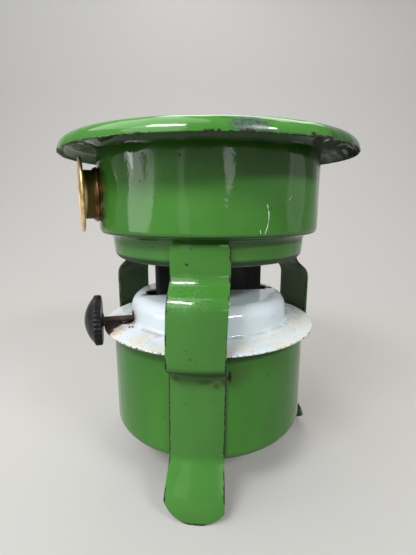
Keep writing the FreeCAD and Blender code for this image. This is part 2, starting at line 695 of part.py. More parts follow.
def make_spindle_clip():
    """Open ring that grips the spindle behind its inner bearing."""
    ring = spindle_rod(CLIP_RADIUS, CLIP_START, CLIP_START + CLIP_THICKNESS)
    ring = ring.cut(spindle_rod(SPINDLE_RADIUS, CLIP_START, CLIP_START + CLIP_THICKNESS))
    mouth = burner_block(CLIP_THICKNESS * 3, CLIP_OPENING, SPINDLE_Z, SPINDLE_Z + CLIP_RADIUS,
                         CLIP_START, SPINDLE_ACROSS)
    return ring.cut(mouth)


def make_knob():
    """Domed knob with a ribbed band, a short hub behind and a hole for its insert."""
    along, across = burner_axes()
    back = burner_point(KNOB_START, SPINDLE_ACROSS, SPINDLE_Z)
    rim = back + along * KNOB_BAND
    edge_radius = KNOB_RADIUS - KNOB_DOME_INSET
    crest = rim + along * KNOB_DOME
    sphere = (edge_radius ** 2 + KNOB_DOME ** 2) / (2 * KNOB_DOME)
    half_turn = math.asin(edge_radius / sphere) / 2
    middle = crest - along * (sphere * (1 - math.cos(half_turn))) + UP * (sphere * math.sin(half_turn))
    outline = [
        Part.LineSegment(back, back + UP * KNOB_RADIUS).toShape(),
        Part.LineSegment(back + UP * KNOB_RADIUS, rim + UP * KNOB_RADIUS).toShape(),
        Part.LineSegment(rim + UP * KNOB_RADIUS, rim + UP * edge_radius).toShape(),
        Part.Arc(rim + UP * edge_radius, middle, crest).toShape(),
        Part.LineSegment(crest, back).toShape(),
    ]
    knob = Part.Face(Part.Wire(outline)).revolve(back, along, 360)
    knob = knob.fuse(spindle_rod(KNOB_HUB_RADIUS, KNOB_START - KNOB_HUB_HEIGHT, KNOB_START))
    knob = knob.removeSplitter()
    tools = [spindle_rod(INSERT_RADIUS, KNOB_START - KNOB_HUB_HEIGHT, KNOB_START + INSERT_LENGTH)]
    foot = back + UP * (KNOB_RADIUS + KNOB_RIB_GROOVE / 3)
    for index in range(KNOB_RIBS):
        groove = Part.makeCylinder(KNOB_RIB_GROOVE, KNOB_BAND, foot, along)
        groove.rotate(back, along, index * 360.0 / KNOB_RIBS)
        tools.append(groove)
    return knob.cut(tools)


def make_knob_insert():
    start = KNOB_START - KNOB_HUB_HEIGHT
    end = KNOB_START + INSERT_LENGTH
    return spindle_rod(INSERT_RADIUS, start, end).cut(spindle_rod(SPINDLE_RADIUS, start, end))


# Drum

def window_axis():
    """Centre of the window on the stove's axis at its height, and its outward direction."""
    return UP * WINDOW_Z, direction(WINDOW_AZIMUTH)


def window_rod(radius, start, end):
    centre, outward = window_axis()
    return Part.makeCylinder(radius, end - start, centre + outward * start, outward)


def window_tube(outer, inner, start, end):
    return window_rod(outer, start, end).cut(window_rod(inner, start, end))


def make_drum():
    half = DRUM_SHEET / 2
    corners = [
        (0, DRUM_FLOOR_Z + half),
        (STEP_FOOT_RADIUS - half, DRUM_FLOOR_Z + half),
        (STEP_HEAD_RADIUS - half, STEP_Z + half),
        (DRUM_RADIUS - half, STEP_Z + half),
        (DRUM_RADIUS - half, FLANGE_TOP_Z - half),
        (FLANGE_RADIUS - half, FLANGE_TOP_Z - half),
        (FLANGE_RADIUS - half, FLANGE_LIP_Z + half),
    ]
    bends = [
        STEP_CORNER - half,
        STEP_FILLET + half,
        DRUM_CORNER - half,
        FLANGE_THROAT + half,
        FLANGE_ROLL - half,
    ]
    drum = turned(sheet_section(corners, bends, DRUM_SHEET))
    slot = rounded_burner_block(HOUSING_LENGTH + 2 * DRUM_SLOT_GAP, HOUSING_WIDTH + 2 * DRUM_SLOT_GAP,
                                DRUM_FLOOR_Z, DRUM_FLOOR_Z + DRUM_SHEET, HOUSING_CORNER + DRUM_SLOT_GAP)
    return drum.cut(slot).cut(window_rod(WINDOW_HOLE_RADIUS, SOCKET_INNER_END, SOCKET_OUTER_END))


def make_window_socket():
    """Ferrule through the drum's wall, with a bead outside."""
    centre, outward = window_axis()
    ferrule = window_rod(WINDOW_HOLE_RADIUS, SOCKET_INNER_END, SOCKET_OUTER_END)
    bead = Part.makeTorus(WINDOW_HOLE_RADIUS, SOCKET_BEAD, centre + outward * SOCKET_BEAD_AT, outward)
    ferrule = ferrule.fuse(bead.cut(Part.makeCylinder(DRUM_RADIUS, FLANGE_TOP_Z)))
    bore = window_rod(WINDOW_HOLE_RADIUS - SOCKET_WALL, SOCKET_INNER_END, SOCKET_OUTER_END)
    return ferrule.cut(bore)


def make_window_frame():
    """Brass neck and flange in one piece, with a bezel in front of the pane."""
    centre, outward = window_axis()
    flange_back = WINDOW_FACE - WINDOW_FLANGE_THICKNESS
    frame = window_rod(WINDOW_FLANGE_RADIUS, flange_back, WINDOW_FACE)
    rim = Part.makeTorus(WINDOW_FLANGE_RADIUS, WINDOW_RIM,
                         centre + outward * (flange_back + WINDOW_FLANGE_THICKNESS / 2), outward)
    neck = window_rod(WINDOW_NECK_RADIUS, WINDOW_NECK_END, flange_back)
    frame = frame.fuse([rim, neck]).removeSplitter()
    frame = frame.cut(window_rod(WINDOW_BORE_RADIUS, WINDOW_NECK_END, flange_back))
    return frame.cut(window_rod(WINDOW_BORE_RADIUS - WINDOW_PANE_LEDGE, flange_back, WINDOW_FACE))


def make_mica_disc():
    face = WINDOW_FACE - WINDOW_FLANGE_THICKNESS
    return window_rod(WINDOW_BORE_RADIUS, face - MICA_THICKNESS, face)


def make_window_ring():
    pane_back = WINDOW_FACE - WINDOW_FLANGE_THICKNESS - MICA_THICKNESS
    inner = WINDOW_BORE_RADIUS - PANE_RING_WALL
    return window_tube(WINDOW_BORE_RADIUS, inner, pane_back - PANE_RING_THICKNESS, pane_back)


def make_pot_grate():
    """Round bar in the drum's throat, six spokes and a hub ring, all flush on top."""
    throat_radius_at = DRUM_RADIUS + FLANGE_THROAT
    throat_height_at = FLANGE_TOP_Z - DRUM_SHEET - FLANGE_THROAT
    reach = FLANGE_THROAT + DRUM_SHEET + LOOSE_GAP + GRATE_BAR_RADIUS
    bar_z = GRATE_Z - GRATE_BAR_RADIUS
    bar_at = throat_radius_at - math.sqrt(reach ** 2 - (bar_z - throat_height_at) ** 2)
    grate = Part.makeTorus(bar_at, GRATE_BAR_RADIUS, UP * bar_z, UP)
    hub = tube(GRATE_HUB_RADIUS, GRATE_HUB_RADIUS - GRATE_HUB_WALL, GRATE_SPOKE_HEIGHT,
               UP * (GRATE_Z - GRATE_SPOKE_HEIGHT))
    spokes = []
    length = bar_at - GRATE_HUB_RADIUS + GRATE_HUB_WALL / 2
    for index in range(GRATE_SPOKES):
        spoke = Part.makeBox(length, GRATE_SPOKE_WIDTH, GRATE_SPOKE_HEIGHT,
                             Vector(bar_at - length, -GRATE_SPOKE_WIDTH / 2, GRATE_Z - GRATE_SPOKE_HEIGHT))
        spoke.rotate(ORIGIN, UP, -90 + index * 360.0 / GRATE_SPOKES)
        spokes.append(spoke)
    return grate.fuse([hub] + spokes).removeSplitter()


def build():
    """Every piece of the stove by its node's name."""
    nodes = {
        "tank_shell": make_tank_shell(),
        "tank_top": make_tank_top(),
        "filler_neck": make_filler_neck(),
        "cap_gasket": make_cap_gasket(),
        "filler_cap": make_filler_cap(),
        "neck_ring": make_neck_ring(),
        "burner_gasket": make_burner_gasket(),
        "burner_plate": make_burner_plate(),
        "burner_screws": make_burner_screws(),
        "air_ring": make_air_ring(),
        "burner_cover": make_burner_cover(),
        "wick_tube": make_wick_tube(),
        "wick": make_wick(),
        "burner_housing": make_burner_housing(),
        "flame_deflector": make_flame_deflector(),
        "spindle": make_spindle(),
        "spindle_bearing_outer": make_bearing(BEARING_ALONG),
        "spindle_bearing_inner": make_bearing(-BEARING_ALONG),
        "wick_wheel_outer": make_wick_wheel(WHEEL_ALONG),
        "wick_wheel_inner": make_wick_wheel(-WHEEL_ALONG),
        "spindle_clip": make_spindle_clip(),
        "knob": make_knob(),
        "knob_insert": make_knob_insert(),
        "drum": make_drum(),
        "window_socket": make_window_socket(),
        "window_frame": make_window_frame(),
        "mica_disc": make_mica_disc(),
        "window_ring": make_window_ring(),
        "pot_grate": make_pot_grate(),
    }
    for index, name in enumerate(LEG_NAMES):
        nodes["leg_" + name] = make_leg(index * 360.0 / len(LEG_NAMES))
    return nodes


def main():
    os.makedirs("parts", exist_ok=True)
    for name, shape in sorted(build().items()):
        shape.exportStep(os.path.join("parts", name + ".step"))
        print(name, "solids", len(shape.Solids), "valid", shape.isValid(), "volume", round(shape.Volume, 1))


main()
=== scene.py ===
# %% [markdown]
# # An enamelled kerosene wick stove
#
# The real stove is pressed sheet steel, dipped in glass enamel and fired: a green tank on three
# straps, a white cover over the burner, and a green drum with a curled flange. The CAD model
# already holds every piece at its real size, so this lesson loads it and gives it what a maker's
# drawing can't: softened strap edges, a moulded knob, a woven wick, and finishes with runs, chips,
# rust and soot.

import math

import bmesh
import bpy
from mathutils import Matrix, Vector


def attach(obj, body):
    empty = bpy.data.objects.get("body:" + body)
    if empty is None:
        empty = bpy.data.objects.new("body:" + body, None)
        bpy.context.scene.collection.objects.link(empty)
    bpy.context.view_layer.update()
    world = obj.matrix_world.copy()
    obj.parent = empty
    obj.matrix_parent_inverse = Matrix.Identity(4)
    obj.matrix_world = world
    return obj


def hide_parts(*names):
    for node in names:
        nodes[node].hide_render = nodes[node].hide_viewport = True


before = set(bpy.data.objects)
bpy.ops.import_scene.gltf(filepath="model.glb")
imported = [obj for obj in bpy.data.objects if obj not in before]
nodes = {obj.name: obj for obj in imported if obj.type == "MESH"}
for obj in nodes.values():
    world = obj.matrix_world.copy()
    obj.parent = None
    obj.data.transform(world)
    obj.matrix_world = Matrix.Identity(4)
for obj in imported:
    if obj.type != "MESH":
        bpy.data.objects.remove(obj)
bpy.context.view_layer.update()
MM = 0.001
UP = Vector((0, 0, 1))

# %% [markdown]
# ## Where the viewer stands
#
# The stove is seen from close by and a little above its middle, so the flange looks wide and the
# foot looks large. A short lens close to the object gives that. A long lens from far away would
# flatten it, so the distance is set first and the lens follows from it.

# %% Camera
CAMERA_TURN = math.radians(5.0)
CAMERA_TILT = 0.201557
CAMERA_AWAY = 0.2583
CAMERA_SIDEWAYS = -0.000235
CAMERA_HEIGHT = 0.1829
FILM_WIDTH = 36.0
LENS = 23.35
NEAREST_SEEN = 0.01

camera = bpy.data.objects.new("camera", bpy.data.cameras.new("camera"))
bpy.context.scene.collection.objects.link(camera)
to_viewer = Vector((math.sin(CAMERA_TURN), -math.cos(CAMERA_TURN), 0))
to_right = Vector((math.cos(CAMERA_TURN), math.sin(CAMERA_TURN), 0))
camera.location = to_viewer * CAMERA_AWAY + to_right * CAMERA_SIDEWAYS + UP * CAMERA_HEIGHT
camera.rotation_euler = (math.pi / 2 - CAMERA_TILT, 0, CAMERA_TURN)
camera.data.sensor_width = FILM_WIDTH
camera.data.lens = LENS
camera.data.clip_start = NEAREST_SEEN
bpy.context.scene.camera = camera
print("camera at", [round(v, 4) for v in camera.location])

# %% [markdown]
# ## Lamps
#
# Glass enamel is judged by what it mirrors. A narrow key lamp and a right lamp hang high in front:
# they draw the short bright marks on the flange and on the bends of the straps. Wider, weaker lamps
# fill the room as windows and a ceiling would, and soften the flange's shadow. The low ones show as
# tall soft reflections on the drum's wall. Their power stays plain, so that a colour renders about
# as it is written.

# %% Lamps
LAMPS_AIM = Vector((0, 0, 0.11))
LAMPS = [
    # name, azimuth and elevation in degrees, distance, width, height, watts and shape
    ("key_lamp", -26, 46, 1.2, 0.42, 0.22, 9.5, "RECTANGLE"),
    ("soft_lamp", -32, 33, 1.2, 0.9, 0.7, 4.5, "ELLIPSE"),
    ("right_lamp", 46, 38, 1.2, 0.38, 0.14, 7.5, "RECTANGLE"),
    ("ceiling_lamp", -75, 64, 1.2, 1.2, 1.0, 9.5, "RECTANGLE"),
    ("low_lamp", -64, 7.5, 1.0, 0.48, 0.42, 1.6, "ELLIPSE"),
    ("side_lamp", 96, 6, 1.0, 0.4, 0.6, 0.3, "ELLIPSE"),
    ("front_lamp", -18, 9, 1.0, 0.16, 0.42, 0.18, "RECTANGLE"),
    ("corner_lamp", -68, 12, 1.0, 0.18, 0.12, 0.3, "ELLIPSE"),
    ("centre_lamp", 23, 10.5, 1.0, 0.24, 0.14, 0.24, "ELLIPSE"),
    ("back_lamp", 165, 58, 0.95, 0.8, 0.4, 3, "RECTANGLE"),
]


def add_lamp(name, azimuth, elevation, distance, width, height, watts, shape):
    """Soft lamp that faces the stove's middle."""
    data = bpy.data.lights.new(name, "AREA")
    data.shape = shape
    data.size = width
    data.size_y = height
    data.energy = watts
    lamp = bpy.data.objects.new(name, data)
    turn = math.radians(azimuth)
    rise = math.radians(elevation)
    flat = math.cos(rise)
    way = Vector((math.sin(turn) * flat, -math.cos(turn) * flat, math.sin(rise)))
    lamp.location = LAMPS_AIM + way * distance
    lamp.rotation_euler = way.to_track_quat("Z", "Y").to_euler()
    bpy.context.scene.collection.objects.link(lamp)
    print(name, watts, "W")


for lamp_row in LAMPS:
    add_lamp(*lamp_row)

# %% [markdown]
# ## Paper for the floor and the wall
#
# A photographer would stand the stove on a roll of pale paper. The viewer sees that paper, and so
# do the mirrors and the glass. Bright paper would also throw a lot of light up under the flange,
# more than a dark table does, so the light that it throws on matt surfaces is set apart from its
# look.

# %% Paper
PALE = (0.30, 0.298, 0.29, 1)
PALE_GLOW = 0.35
PAPER_ROUGHNESS = 0.9
FLOOR_THROWS = (0.085, 0.072, 0.062, 1)
WALL_THROWS = (0.62, 0.57, 0.50, 1)


def seen_rays(tree):
    """1 for rays from the camera, and for those that mirrors and glass send on. 0 for all others."""
    ray = tree.nodes.new("ShaderNodeLightPath")
    share = ray.outputs["Is Camera Ray"]
    for kind in ("Is Glossy Ray", "Is Transmission Ray"):
        either = tree.nodes.new("ShaderNodeMath")
        either.operation = "MAXIMUM"
        tree.links.new(share, either.inputs[0])
        tree.links.new(ray.outputs[kind], either.inputs[1])
        share = either.outputs[0]
    return share


def mix_by_rays(tree, thrown, seen, output):
    """Send one shader to the light that is thrown on the stove, and another to what is seen."""
    mix = tree.nodes.new("ShaderNodeMixShader")
    tree.links.new(seen_rays(tree), mix.inputs[0])
    tree.links.new(thrown.outputs[0], mix.inputs[1])
    tree.links.new(seen.outputs[0], mix.inputs[2])
    tree.links.new(mix.outputs[0], tree.nodes[output].inputs["Surface"])


def paper_material(name, throws):
    """Matt pale paper that keeps the stove's shadow."""
    paper = bpy.data.materials.new(name)
    paper.use_nodes = True
    tree = paper.node_tree
    seen = tree.nodes["Principled BSDF"]
    seen.inputs["Base Color"].default_value = PALE
    seen.inputs["Roughness"].default_value = PAPER_ROUGHNESS
    seen.inputs["Emission Color"].default_value = PALE
    seen.inputs["Emission Strength"].default_value = PALE_GLOW
    thrown = tree.nodes.new("ShaderNodeBsdfDiffuse")
    thrown.inputs["Color"].default_value = throws
    mix_by_rays(tree, thrown, seen, "Material Output")
    print(name, "looks", PALE[:3], "and throws", throws[:3])
    return paper


papers = [paper_material("floor_paper", FLOOR_THROWS), paper_material("wall_paper", WALL_THROWS)]

# %% [markdown]
# Every new shape ends in the same way: its mesh is shaded smooth and goes into the scene as an
# object that sits at the origin. The straps and the knob also start alike, from a side view that is
# drawn as a line and swung round an axis. Both moves are written once.

# %% From line to object
SAME_POINT = 1e-6


def to_object(name, shape):
    """Turn a bmesh into an object of the scene."""
    data = bpy.data.meshes.new(name)
    shape.to_mesh(data)
    shape.free()
    data.shade_smooth()
    piece = bpy.data.objects.new(name, data)
    bpy.context.scene.collection.objects.link(piece)
    print(name, "faces:", len(data.polygons))
    return piece


def drawn_line(points):
    """A bmesh with one line, drawn through points that are given across and up in millimetres."""
    shape = bmesh.new()
    verts = [shape.verts.new((across * MM, 0, up * MM)) for across, up in points]
    for first, second in zip(verts, verts[1:]):
        shape.edges.new((first, second))
    return shape


print("points closer than", SAME_POINT, "m count as one")

# %% [markdown]
# The roll lies flat under the stove, bends up behind it in a wide quarter circle and goes on as the
# wall, so that no corner shows. It is one edge, pulled along that line step by step.

# %% Floor and wall
PAPER_HALF_WIDTH = 4.0
PAPER_START = -3.0
PAPER_FLAT = 0.28
PAPER_BEND = 0.5
PAPER_BEND_STEPS = 16
PAPER_TOP = 4.0
paper_line = [Vector((0, PAPER_START, 0)), Vector((0, PAPER_FLAT, 0))]
for step in range(1, PAPER_BEND_STEPS + 1):
    angle = math.pi / 2 * step / PAPER_BEND_STEPS
    back = PAPER_FLAT + PAPER_BEND * math.sin(angle)
    paper_line.append(Vector((0, back, PAPER_BEND * (1 - math.cos(angle)))))
paper_line.append(Vector((0, PAPER_FLAT + PAPER_BEND, PAPER_TOP)))
floor_shape = bmesh.new()
ends = [floor_shape.verts.new((side * PAPER_HALF_WIDTH, PAPER_START, 0)) for side in (-1, 1)]
edge = floor_shape.edges.new(ends)
for here, there in zip(paper_line, paper_line[1:]):
    pulled = bmesh.ops.extrude_edge_only(floor_shape, edges=[edge])["geom"]
    ends = [part for part in pulled if isinstance(part, bmesh.types.BMVert)]
    edge = floor_shape.edges.get(ends)
    bmesh.ops.translate(floor_shape, vec=there - here, verts=ends)
for face in floor_shape.faces:
    face.material_index = 0 if face.calc_center_median().y < PAPER_FLAT else 1
bmesh.ops.recalc_face_normals(floor_shape, faces=floor_shape.faces)
floor = to_object("floor", floor_shape)
for paper in papers:
    floor.data.materials.append(paper)

# %% [markdown]
# The rest of the room is an even, slightly warm glow. It looks like the paper where it is seen, and
# it fills the shadows where it isn't.

# %% Room
ROOM_LIGHT = (1.0, 0.97, 0.90, 1)
ROOM_STRENGTH = 0.27
ROOM_LOOK = (0.50, 0.497, 0.485, 1)
world = bpy.data.worlds.new("room")
bpy.context.scene.world = world
world.use_nodes = True
room = world.node_tree
room_light = room.nodes["Background"]
room_light.inputs["Color"].default_value = ROOM_LIGHT
room_light.inputs["Strength"].default_value = ROOM_STRENGTH
room_seen = room.nodes.new("ShaderNodeBackground")
room_seen.inputs["Color"].default_value = ROOM_LOOK
mix_by_rays(room, room_light, room_seen, "World Output")
bpy.context.scene.view_settings.view_transform = "Standard"
print("room strength:", ROOM_STRENGTH)

# %% [markdown]
# ## A bench of finishing tools
#
# Every finish below is a small node tree. They all need the same few moves, so the moves are
# written once, and each finish then reads like a recipe. The first ones feed a socket, and do sums
# with the place on the stove.

# %% Sums


class Sums:
    """One material's node tree. Patterns start from Object coordinates, in metres."""

    def __init__(self, name, roughness=0.5, metallic=0.0):
        self.material = bpy.data.materials.new(name)
        self.material.use_nodes = True
        self.tree = self.material.node_tree
        self.shader = self.tree.nodes["Principled BSDF"]
        self.shader.inputs["Roughness"].default_value = roughness
        self.shader.inputs["Metallic"].default_value = metallic
        self.place = self.tree.nodes.new("ShaderNodeTexCoord").outputs["Object"]
        x, y, self.z = self.axes(self.place)
        self.radius = self.diagonal(x, y)
        self.normal = None

    def feed(self, socket, value):
        """Link a socket's value, or write a plain one."""
        if isinstance(value, bpy.types.NodeSocket):
            self.tree.links.new(value, socket)
        else:
            socket.default_value = value

    def sum(self, kind, operation, values):
        node = self.tree.nodes.new(kind)
        node.operation = operation
        for socket, value in zip(node.inputs, values):
            self.feed(socket, value)
        return node.outputs

    def math(self, operation, *values):
        return self.sum("ShaderNodeMath", operation, values)[0]

    def vector(self, operation, *values):
        outputs = self.sum("ShaderNodeVectorMath", operation, values)
        return outputs["Value" if operation in ("LENGTH", "DOT_PRODUCT") else "Vector"]

    def axes(self, place):
        """The three numbers of a place."""
        node = self.tree.nodes.new("ShaderNodeSeparateXYZ")
        self.feed(node.inputs[0], place)
        return node.outputs

    def diagonal(self, a, b):
        """Length of the diagonal over two sides."""
        return self.math("SQRT", self.math("ADD", self.math("MULTIPLY", a, a), self.math("MULTIPLY", b, b)))


print("sums:", [name for name in vars(Sums) if name[0] != "_"])

# %% [markdown]
# The next moves make patterns: clouds of a known size, and masks that are cut out of them or
# joined. A mask is 1 where a mark lies and 0 elsewhere.

# %% Patterns


class Patterns(Sums):
    """Clouds and masks."""

    def noise(self, size, detail, where, output="Fac"):
        node = self.tree.nodes.new("ShaderNodeTexNoise")
        node.inputs["Scale"].default_value = 1 / size
        node.inputs["Detail"].default_value = detail
        self.feed(node.inputs["Vector"], where)
        return node.outputs[output]

    def clouds(self, size, detail=2.0, stretch=None):
        """Clouds from 0 to 1, of a size in metres, longer along an axis where stretch is above 1."""
        where = self.vector("DIVIDE", self.place, stretch) if stretch else self.place
        return self.noise(size, detail, where)

    def ramp(self, value, low, high):
        """0 below low, 1 above high and smooth between them. With low above high it falls instead."""
        node = self.tree.nodes.new("ShaderNodeMapRange")
        node.interpolation_type = "SMOOTHSTEP"
        self.feed(node.inputs["Value"], value)
        self.feed(node.inputs["From Min"], low)
        self.feed(node.inputs["From Max"], high)
        return node.outputs[0]

    def patches(self, size, detail, low, high, stretch=None):
        """Clouds cut to patches."""
        return self.ramp(self.clouds(size, detail, stretch), low, high)

    def band(self, value, low, high, soft):
        """1 between two values, fading out over soft on each side."""
        rise = self.ramp(value, low - soft, low + soft)
        return self.both(rise, self.ramp(value, high + soft, high - soft))

    def both(self, *masks):
        """1 where all the masks are 1."""
        result = masks[0]
        for mask in masks[1:]:
            result = self.math("MULTIPLY", result, mask)
        return result

    def either(self, *masks):
        """1 where any of the masks is 1."""
        result = masks[0]
        for mask in masks[1:]:
            result = self.math("MAXIMUM", result, mask)
        return result

    def zone(self, radius, height):
        """1 past an edge in radius and one in height. An edge gives where its ramp is 0 and where 1."""
        return self.both(self.ramp(self.radius, *radius), self.ramp(self.z, *height))


print("patterns:", [name for name in vars(Patterns) if name[0] != "_"])

# %% [markdown]
# Wear sits in certain places. A spot marks a ragged patch around a point, and a line marks a
# scratch.

# %% Marks
WANDER_SIZE = 0.004
LINE_FADES_FROM = 0.6
LINE_ENDS_AT = 1.3


class Marks(Patterns):
    """Single marks at known places, in millimetres."""

    def spot(self, at, reach, ragged, grain=0.002, edge=0.12):
        """Ragged spot around a point, with its half sizes along X, Y and Z."""
        centre = [v * MM for v in at]
        halves = [v * MM for v in reach]
        offset = self.vector("DIVIDE", self.vector("SUBTRACT", self.place, centre), halves)
        rough = self.math("MULTIPLY", self.math("SUBTRACT", self.clouds(grain), 0.5), 2 * ragged)
        away = self.math("ADD", self.vector("LENGTH", offset), rough)
        return self.ramp(away, 1 + edge, 1 - edge)

    def spots(self, rows):
        """Several spots as one mask."""
        return self.either(*[self.spot(*row) for row in rows])

    def line(self, start, end, half_width, wander):
        """Thin wandering mark between two points."""
        a = Vector(start) * MM
        b = Vector(end) * MM
        along = (b - a).normalized()
        shake = self.vector("SUBTRACT", self.noise(WANDER_SIZE, 2.0, self.place, "Color"), (0.5, 0.5, 0.5))
        where = self.vector("ADD", self.place, self.vector("MULTIPLY", shake, [wander * MM] * 3))
        offset = self.vector("SUBTRACT", where, a)
        along_it = self.math("MAXIMUM", self.vector("DOT_PRODUCT", offset, along), 0.0)
        nearest = self.vector("MULTIPLY", along, self.math("MINIMUM", along_it, (b - a).length))
        away = self.vector("LENGTH", self.vector("SUBTRACT", offset, nearest))
        return self.ramp(away, half_width * LINE_ENDS_AT * MM, half_width * LINE_FADES_FROM * MM)

    def lines(self, rows):
        """Several lines as one mask."""
        return self.either(*[self.line(*row) for row in rows])


print("marks:", [name for name in vars(Marks) if name[0] != "_"])

# %% [markdown]
# The last moves lay one colour or value over another through a mask, raise the surface, and send
# the result to the shader.

# %% Finish


class Finish(Marks):
    """A whole finish, from bare material to the shader."""

    def colours(self, under, over, mask, share=None):
        """Lay one colour over another through a mask, or through a share of it."""
        node = self.tree.nodes.new("ShaderNodeMix")
        node.data_type = "RGBA"
        self.feed(node.inputs[0], self.math("MULTIPLY", mask, share) if share else mask)
        for socket, value in ((node.inputs[6], under), (node.inputs[7], over)):
            self.feed(socket, self.as_colour(value))
        return node.outputs[2]

    def values(self, under, over, mask):
        """Lay one number over another through a mask."""
        node = self.tree.nodes.new("ShaderNodeMix")
        self.feed(node.inputs[0], mask)
        self.feed(node.inputs[2], under)
        self.feed(node.inputs[3], over)
        return node.outputs[0]

    def relief(self, height, metres):
        """Raise the surface where a pattern is high. Calls add up."""
        node = self.tree.nodes.new("ShaderNodeBump")
        node.inputs["Distance"].default_value = metres
        self.feed(node.inputs["Height"], height)
        if self.normal is not None:
            self.feed(node.inputs["Normal"], self.normal)
        self.normal = node.outputs[0]

    def as_colour(self, value):
        return value if isinstance(value, bpy.types.NodeSocket) else (*value, 1)

    def done(self, colour, roughness=None):
        """Send the colour, the roughness and the relief to the shader."""
        self.feed(self.shader.inputs["Base Color"], self.as_colour(colour))
        if roughness is not None:
            self.feed(self.shader.inputs["Roughness"], roughness)
        if self.normal is not None:
            self.feed(self.shader.inputs["Normal"], self.normal)
        return self.material


print("finish:", [name for name in vars(Finish) if name[0] != "_"])

# %% [markdown]
# The model's own pieces keep their shapes. They only change their material.

# %% Dress a piece


def dress(node, material):
    """Give a CAD node one material."""
    nodes[node].data.materials.clear()
    nodes[node].data.materials.append(material)
    print(node, "wears", material.name)


print("pieces to dress:", len(nodes))

# %% [markdown]
# ## Green enamel
#
# Enamel is glass, melted onto steel. It pools and runs a little before it sets, so its gloss waves
# gently from top to bottom, and it chips to black iron oxide where the sheet is bent tight or
# knocked. The chips are cut below the glass, rough, and brown with rust in their middles. All the
# green pieces share one recipe, and each passes in its own list of chips.

# %% Green enamel recipe
GREEN = (0.050, 0.186, 0.027)
GREEN_DEEP = (0.031, 0.131, 0.017)
IRON_BLACK = (0.010, 0.009, 0.008)
RUST_BROWN = (0.060, 0.026, 0.011)
GLASS_ROUGHNESS = 0.065
SMEAR_ROUGHNESS = 0.22
IRON_ROUGHNESS = 0.8
GLASS_MIRROR = 0.35
RUN_HEIGHT = 0.0006
RIPPLE_HEIGHT = 0.000048
CHIP_DEPTH = 0.00016


def enamel(name, glass, glass_deep, bare, wears, run_height=RUN_HEIGHT, mirror=GLASS_MIRROR):
    """Enamel with runs, pits and smears. bare masks its chips, and the functions in wears lay on it, in
    turn, stains, wear and, on some pieces, painted light.
    """
    finish = Finish(name, GLASS_ROUGHNESS)
    finish.shader.inputs["Specular IOR Level"].default_value = mirror
    pooled = finish.patches(0.035, 3.0, 0.30, 0.72, stretch=(1, 1, 2.2))
    colour = finish.colours(glass, glass_deep, pooled, 0.55)
    smear = finish.patches(0.020, 4.0, 0.46, 0.72, stretch=(1, 1, 1.6))
    roughness = finish.values(GLASS_ROUGHNESS, SMEAR_ROUGHNESS, smear)
    finish.relief(finish.clouds(0.020, 1.0, stretch=(1, 1, 2.5)), run_height)
    finish.relief(finish.clouds(0.0026, 1.0), RIPPLE_HEIGHT)
    for wear in wears:
        colour, roughness = wear(finish, colour, roughness)
    pits = finish.math("MULTIPLY", finish.patches(0.0022, 0.0, 0.845, 0.86), 0.9)
    chipped = finish.either(bare(finish), pits)
    iron = finish.colours(IRON_BLACK, RUST_BROWN, finish.patches(0.0022, 3.0, 0.50, 0.64), 0.8)
    finish.relief(chipped, -CHIP_DEPTH)
    roughness = finish.values(roughness, IRON_ROUGHNESS, chipped)
    return finish.done(finish.colours(colour, iron, chipped), roughness)


print("green enamel:", GREEN)

# %% [markdown]
# ### The drum
#
# The drum took the most knocks on the edge of its flange: a grey-green scuff where the glass is
# ground thin, a row of black chips along the cut edge, and patches of them to the right. A chip is
# a spot at a known place, and the ragged row is cut out of clouds.

# %% Drum chips
LIP = ((0.0935, 0.0945), (0.2142, 0.2131))
DRUM_CHIPS = [
    # place, half sizes, raggedness and grain
    ((8.6, -96.1, 213.4), (2.6, 1.5, 0.7), 0.7, 0.0014),
    ((12.8, -95.6, 213.6), (0.8, 1.2, 0.5), 0.4, 0.001),
    ((25.5, -93.2, 213.3), (4.4, 2.0, 0.8), 0.8, 0.0014),
    ((55.5, -78.8, 214.4), (1.6, 2.0, 0.8), 0.8, 0.0016),
    ((59.0, -76.4, 213.5), (3.0, 3.0, 0.9), 0.8, 0.0016),
    ((64.2, -72.0, 213.8), (3.4, 3.4, 0.8), 0.8, 0.0016),
    ((76.0, -59.5, 212.8), (6.0, 8.0, 1.0), 0.6),
    ((15.4, -72.4, 165.8), (0.6, 0.6, 0.6), 0.3, 0.001),
    ((23.3, -61.0, 149.4), (1.9, 1.4, 1.1), 0.6),
]


def drum_chips(finish):
    crumbs = finish.math("MULTIPLY", finish.clouds(0.0030, 3.0), 0.6)
    patches = finish.math("MULTIPLY", finish.clouds(0.022, 1.0), 0.6)
    lip = finish.both(finish.zone(*LIP), finish.ramp(finish.math("ADD", crumbs, patches), 0.57, 0.65))
    return finish.either(lip, finish.spots(DRUM_CHIPS))


print("single chips on the drum:", len(DRUM_CHIPS))

# %% [markdown]
# The flange is the drum's own sheet, turned outwards and curled down to its lip, open below. The
# inner face of that curl, on the right, is painted black as shade, so this face is found first: by
# its distance from the middle of the curl, and by its place under the flat part of the sheet.

# %% Flange
CURL_RADIUS = 0.0883
CURL_Z = 0.2133
CURL_INSIDE = (0.0078, 0.0074)
UNDER_SHEET = ((0.0888, 0.0883), (0.2210, 0.2207))
# Colour of the painted shade inside the curl.
CURL_SHADE_BLACK = (0.010, 0.011, 0.008)
# Colour of the mottled painted shade on the right of the flange.
RIGHT_RIM_SHADE = (0.022, 0.056, 0.016)
SCUFFED = (0.045, 0.092, 0.056)
SCUFF_SPECKS = (0.016, 0.026, 0.018)
SMUDGED = (0.030, 0.075, 0.022)
SMUDGES = [
    # place, half sizes, raggedness, grain and edge
    ((35.5, -87.2, 219.0), (2.4, 2.0, 0.7), 0.9, 0.0016, 0.4),
    ((16.5, -92.6, 219.4), (3.6, 2.0, 0.6), 0.9, 0.0016, 0.4),
]


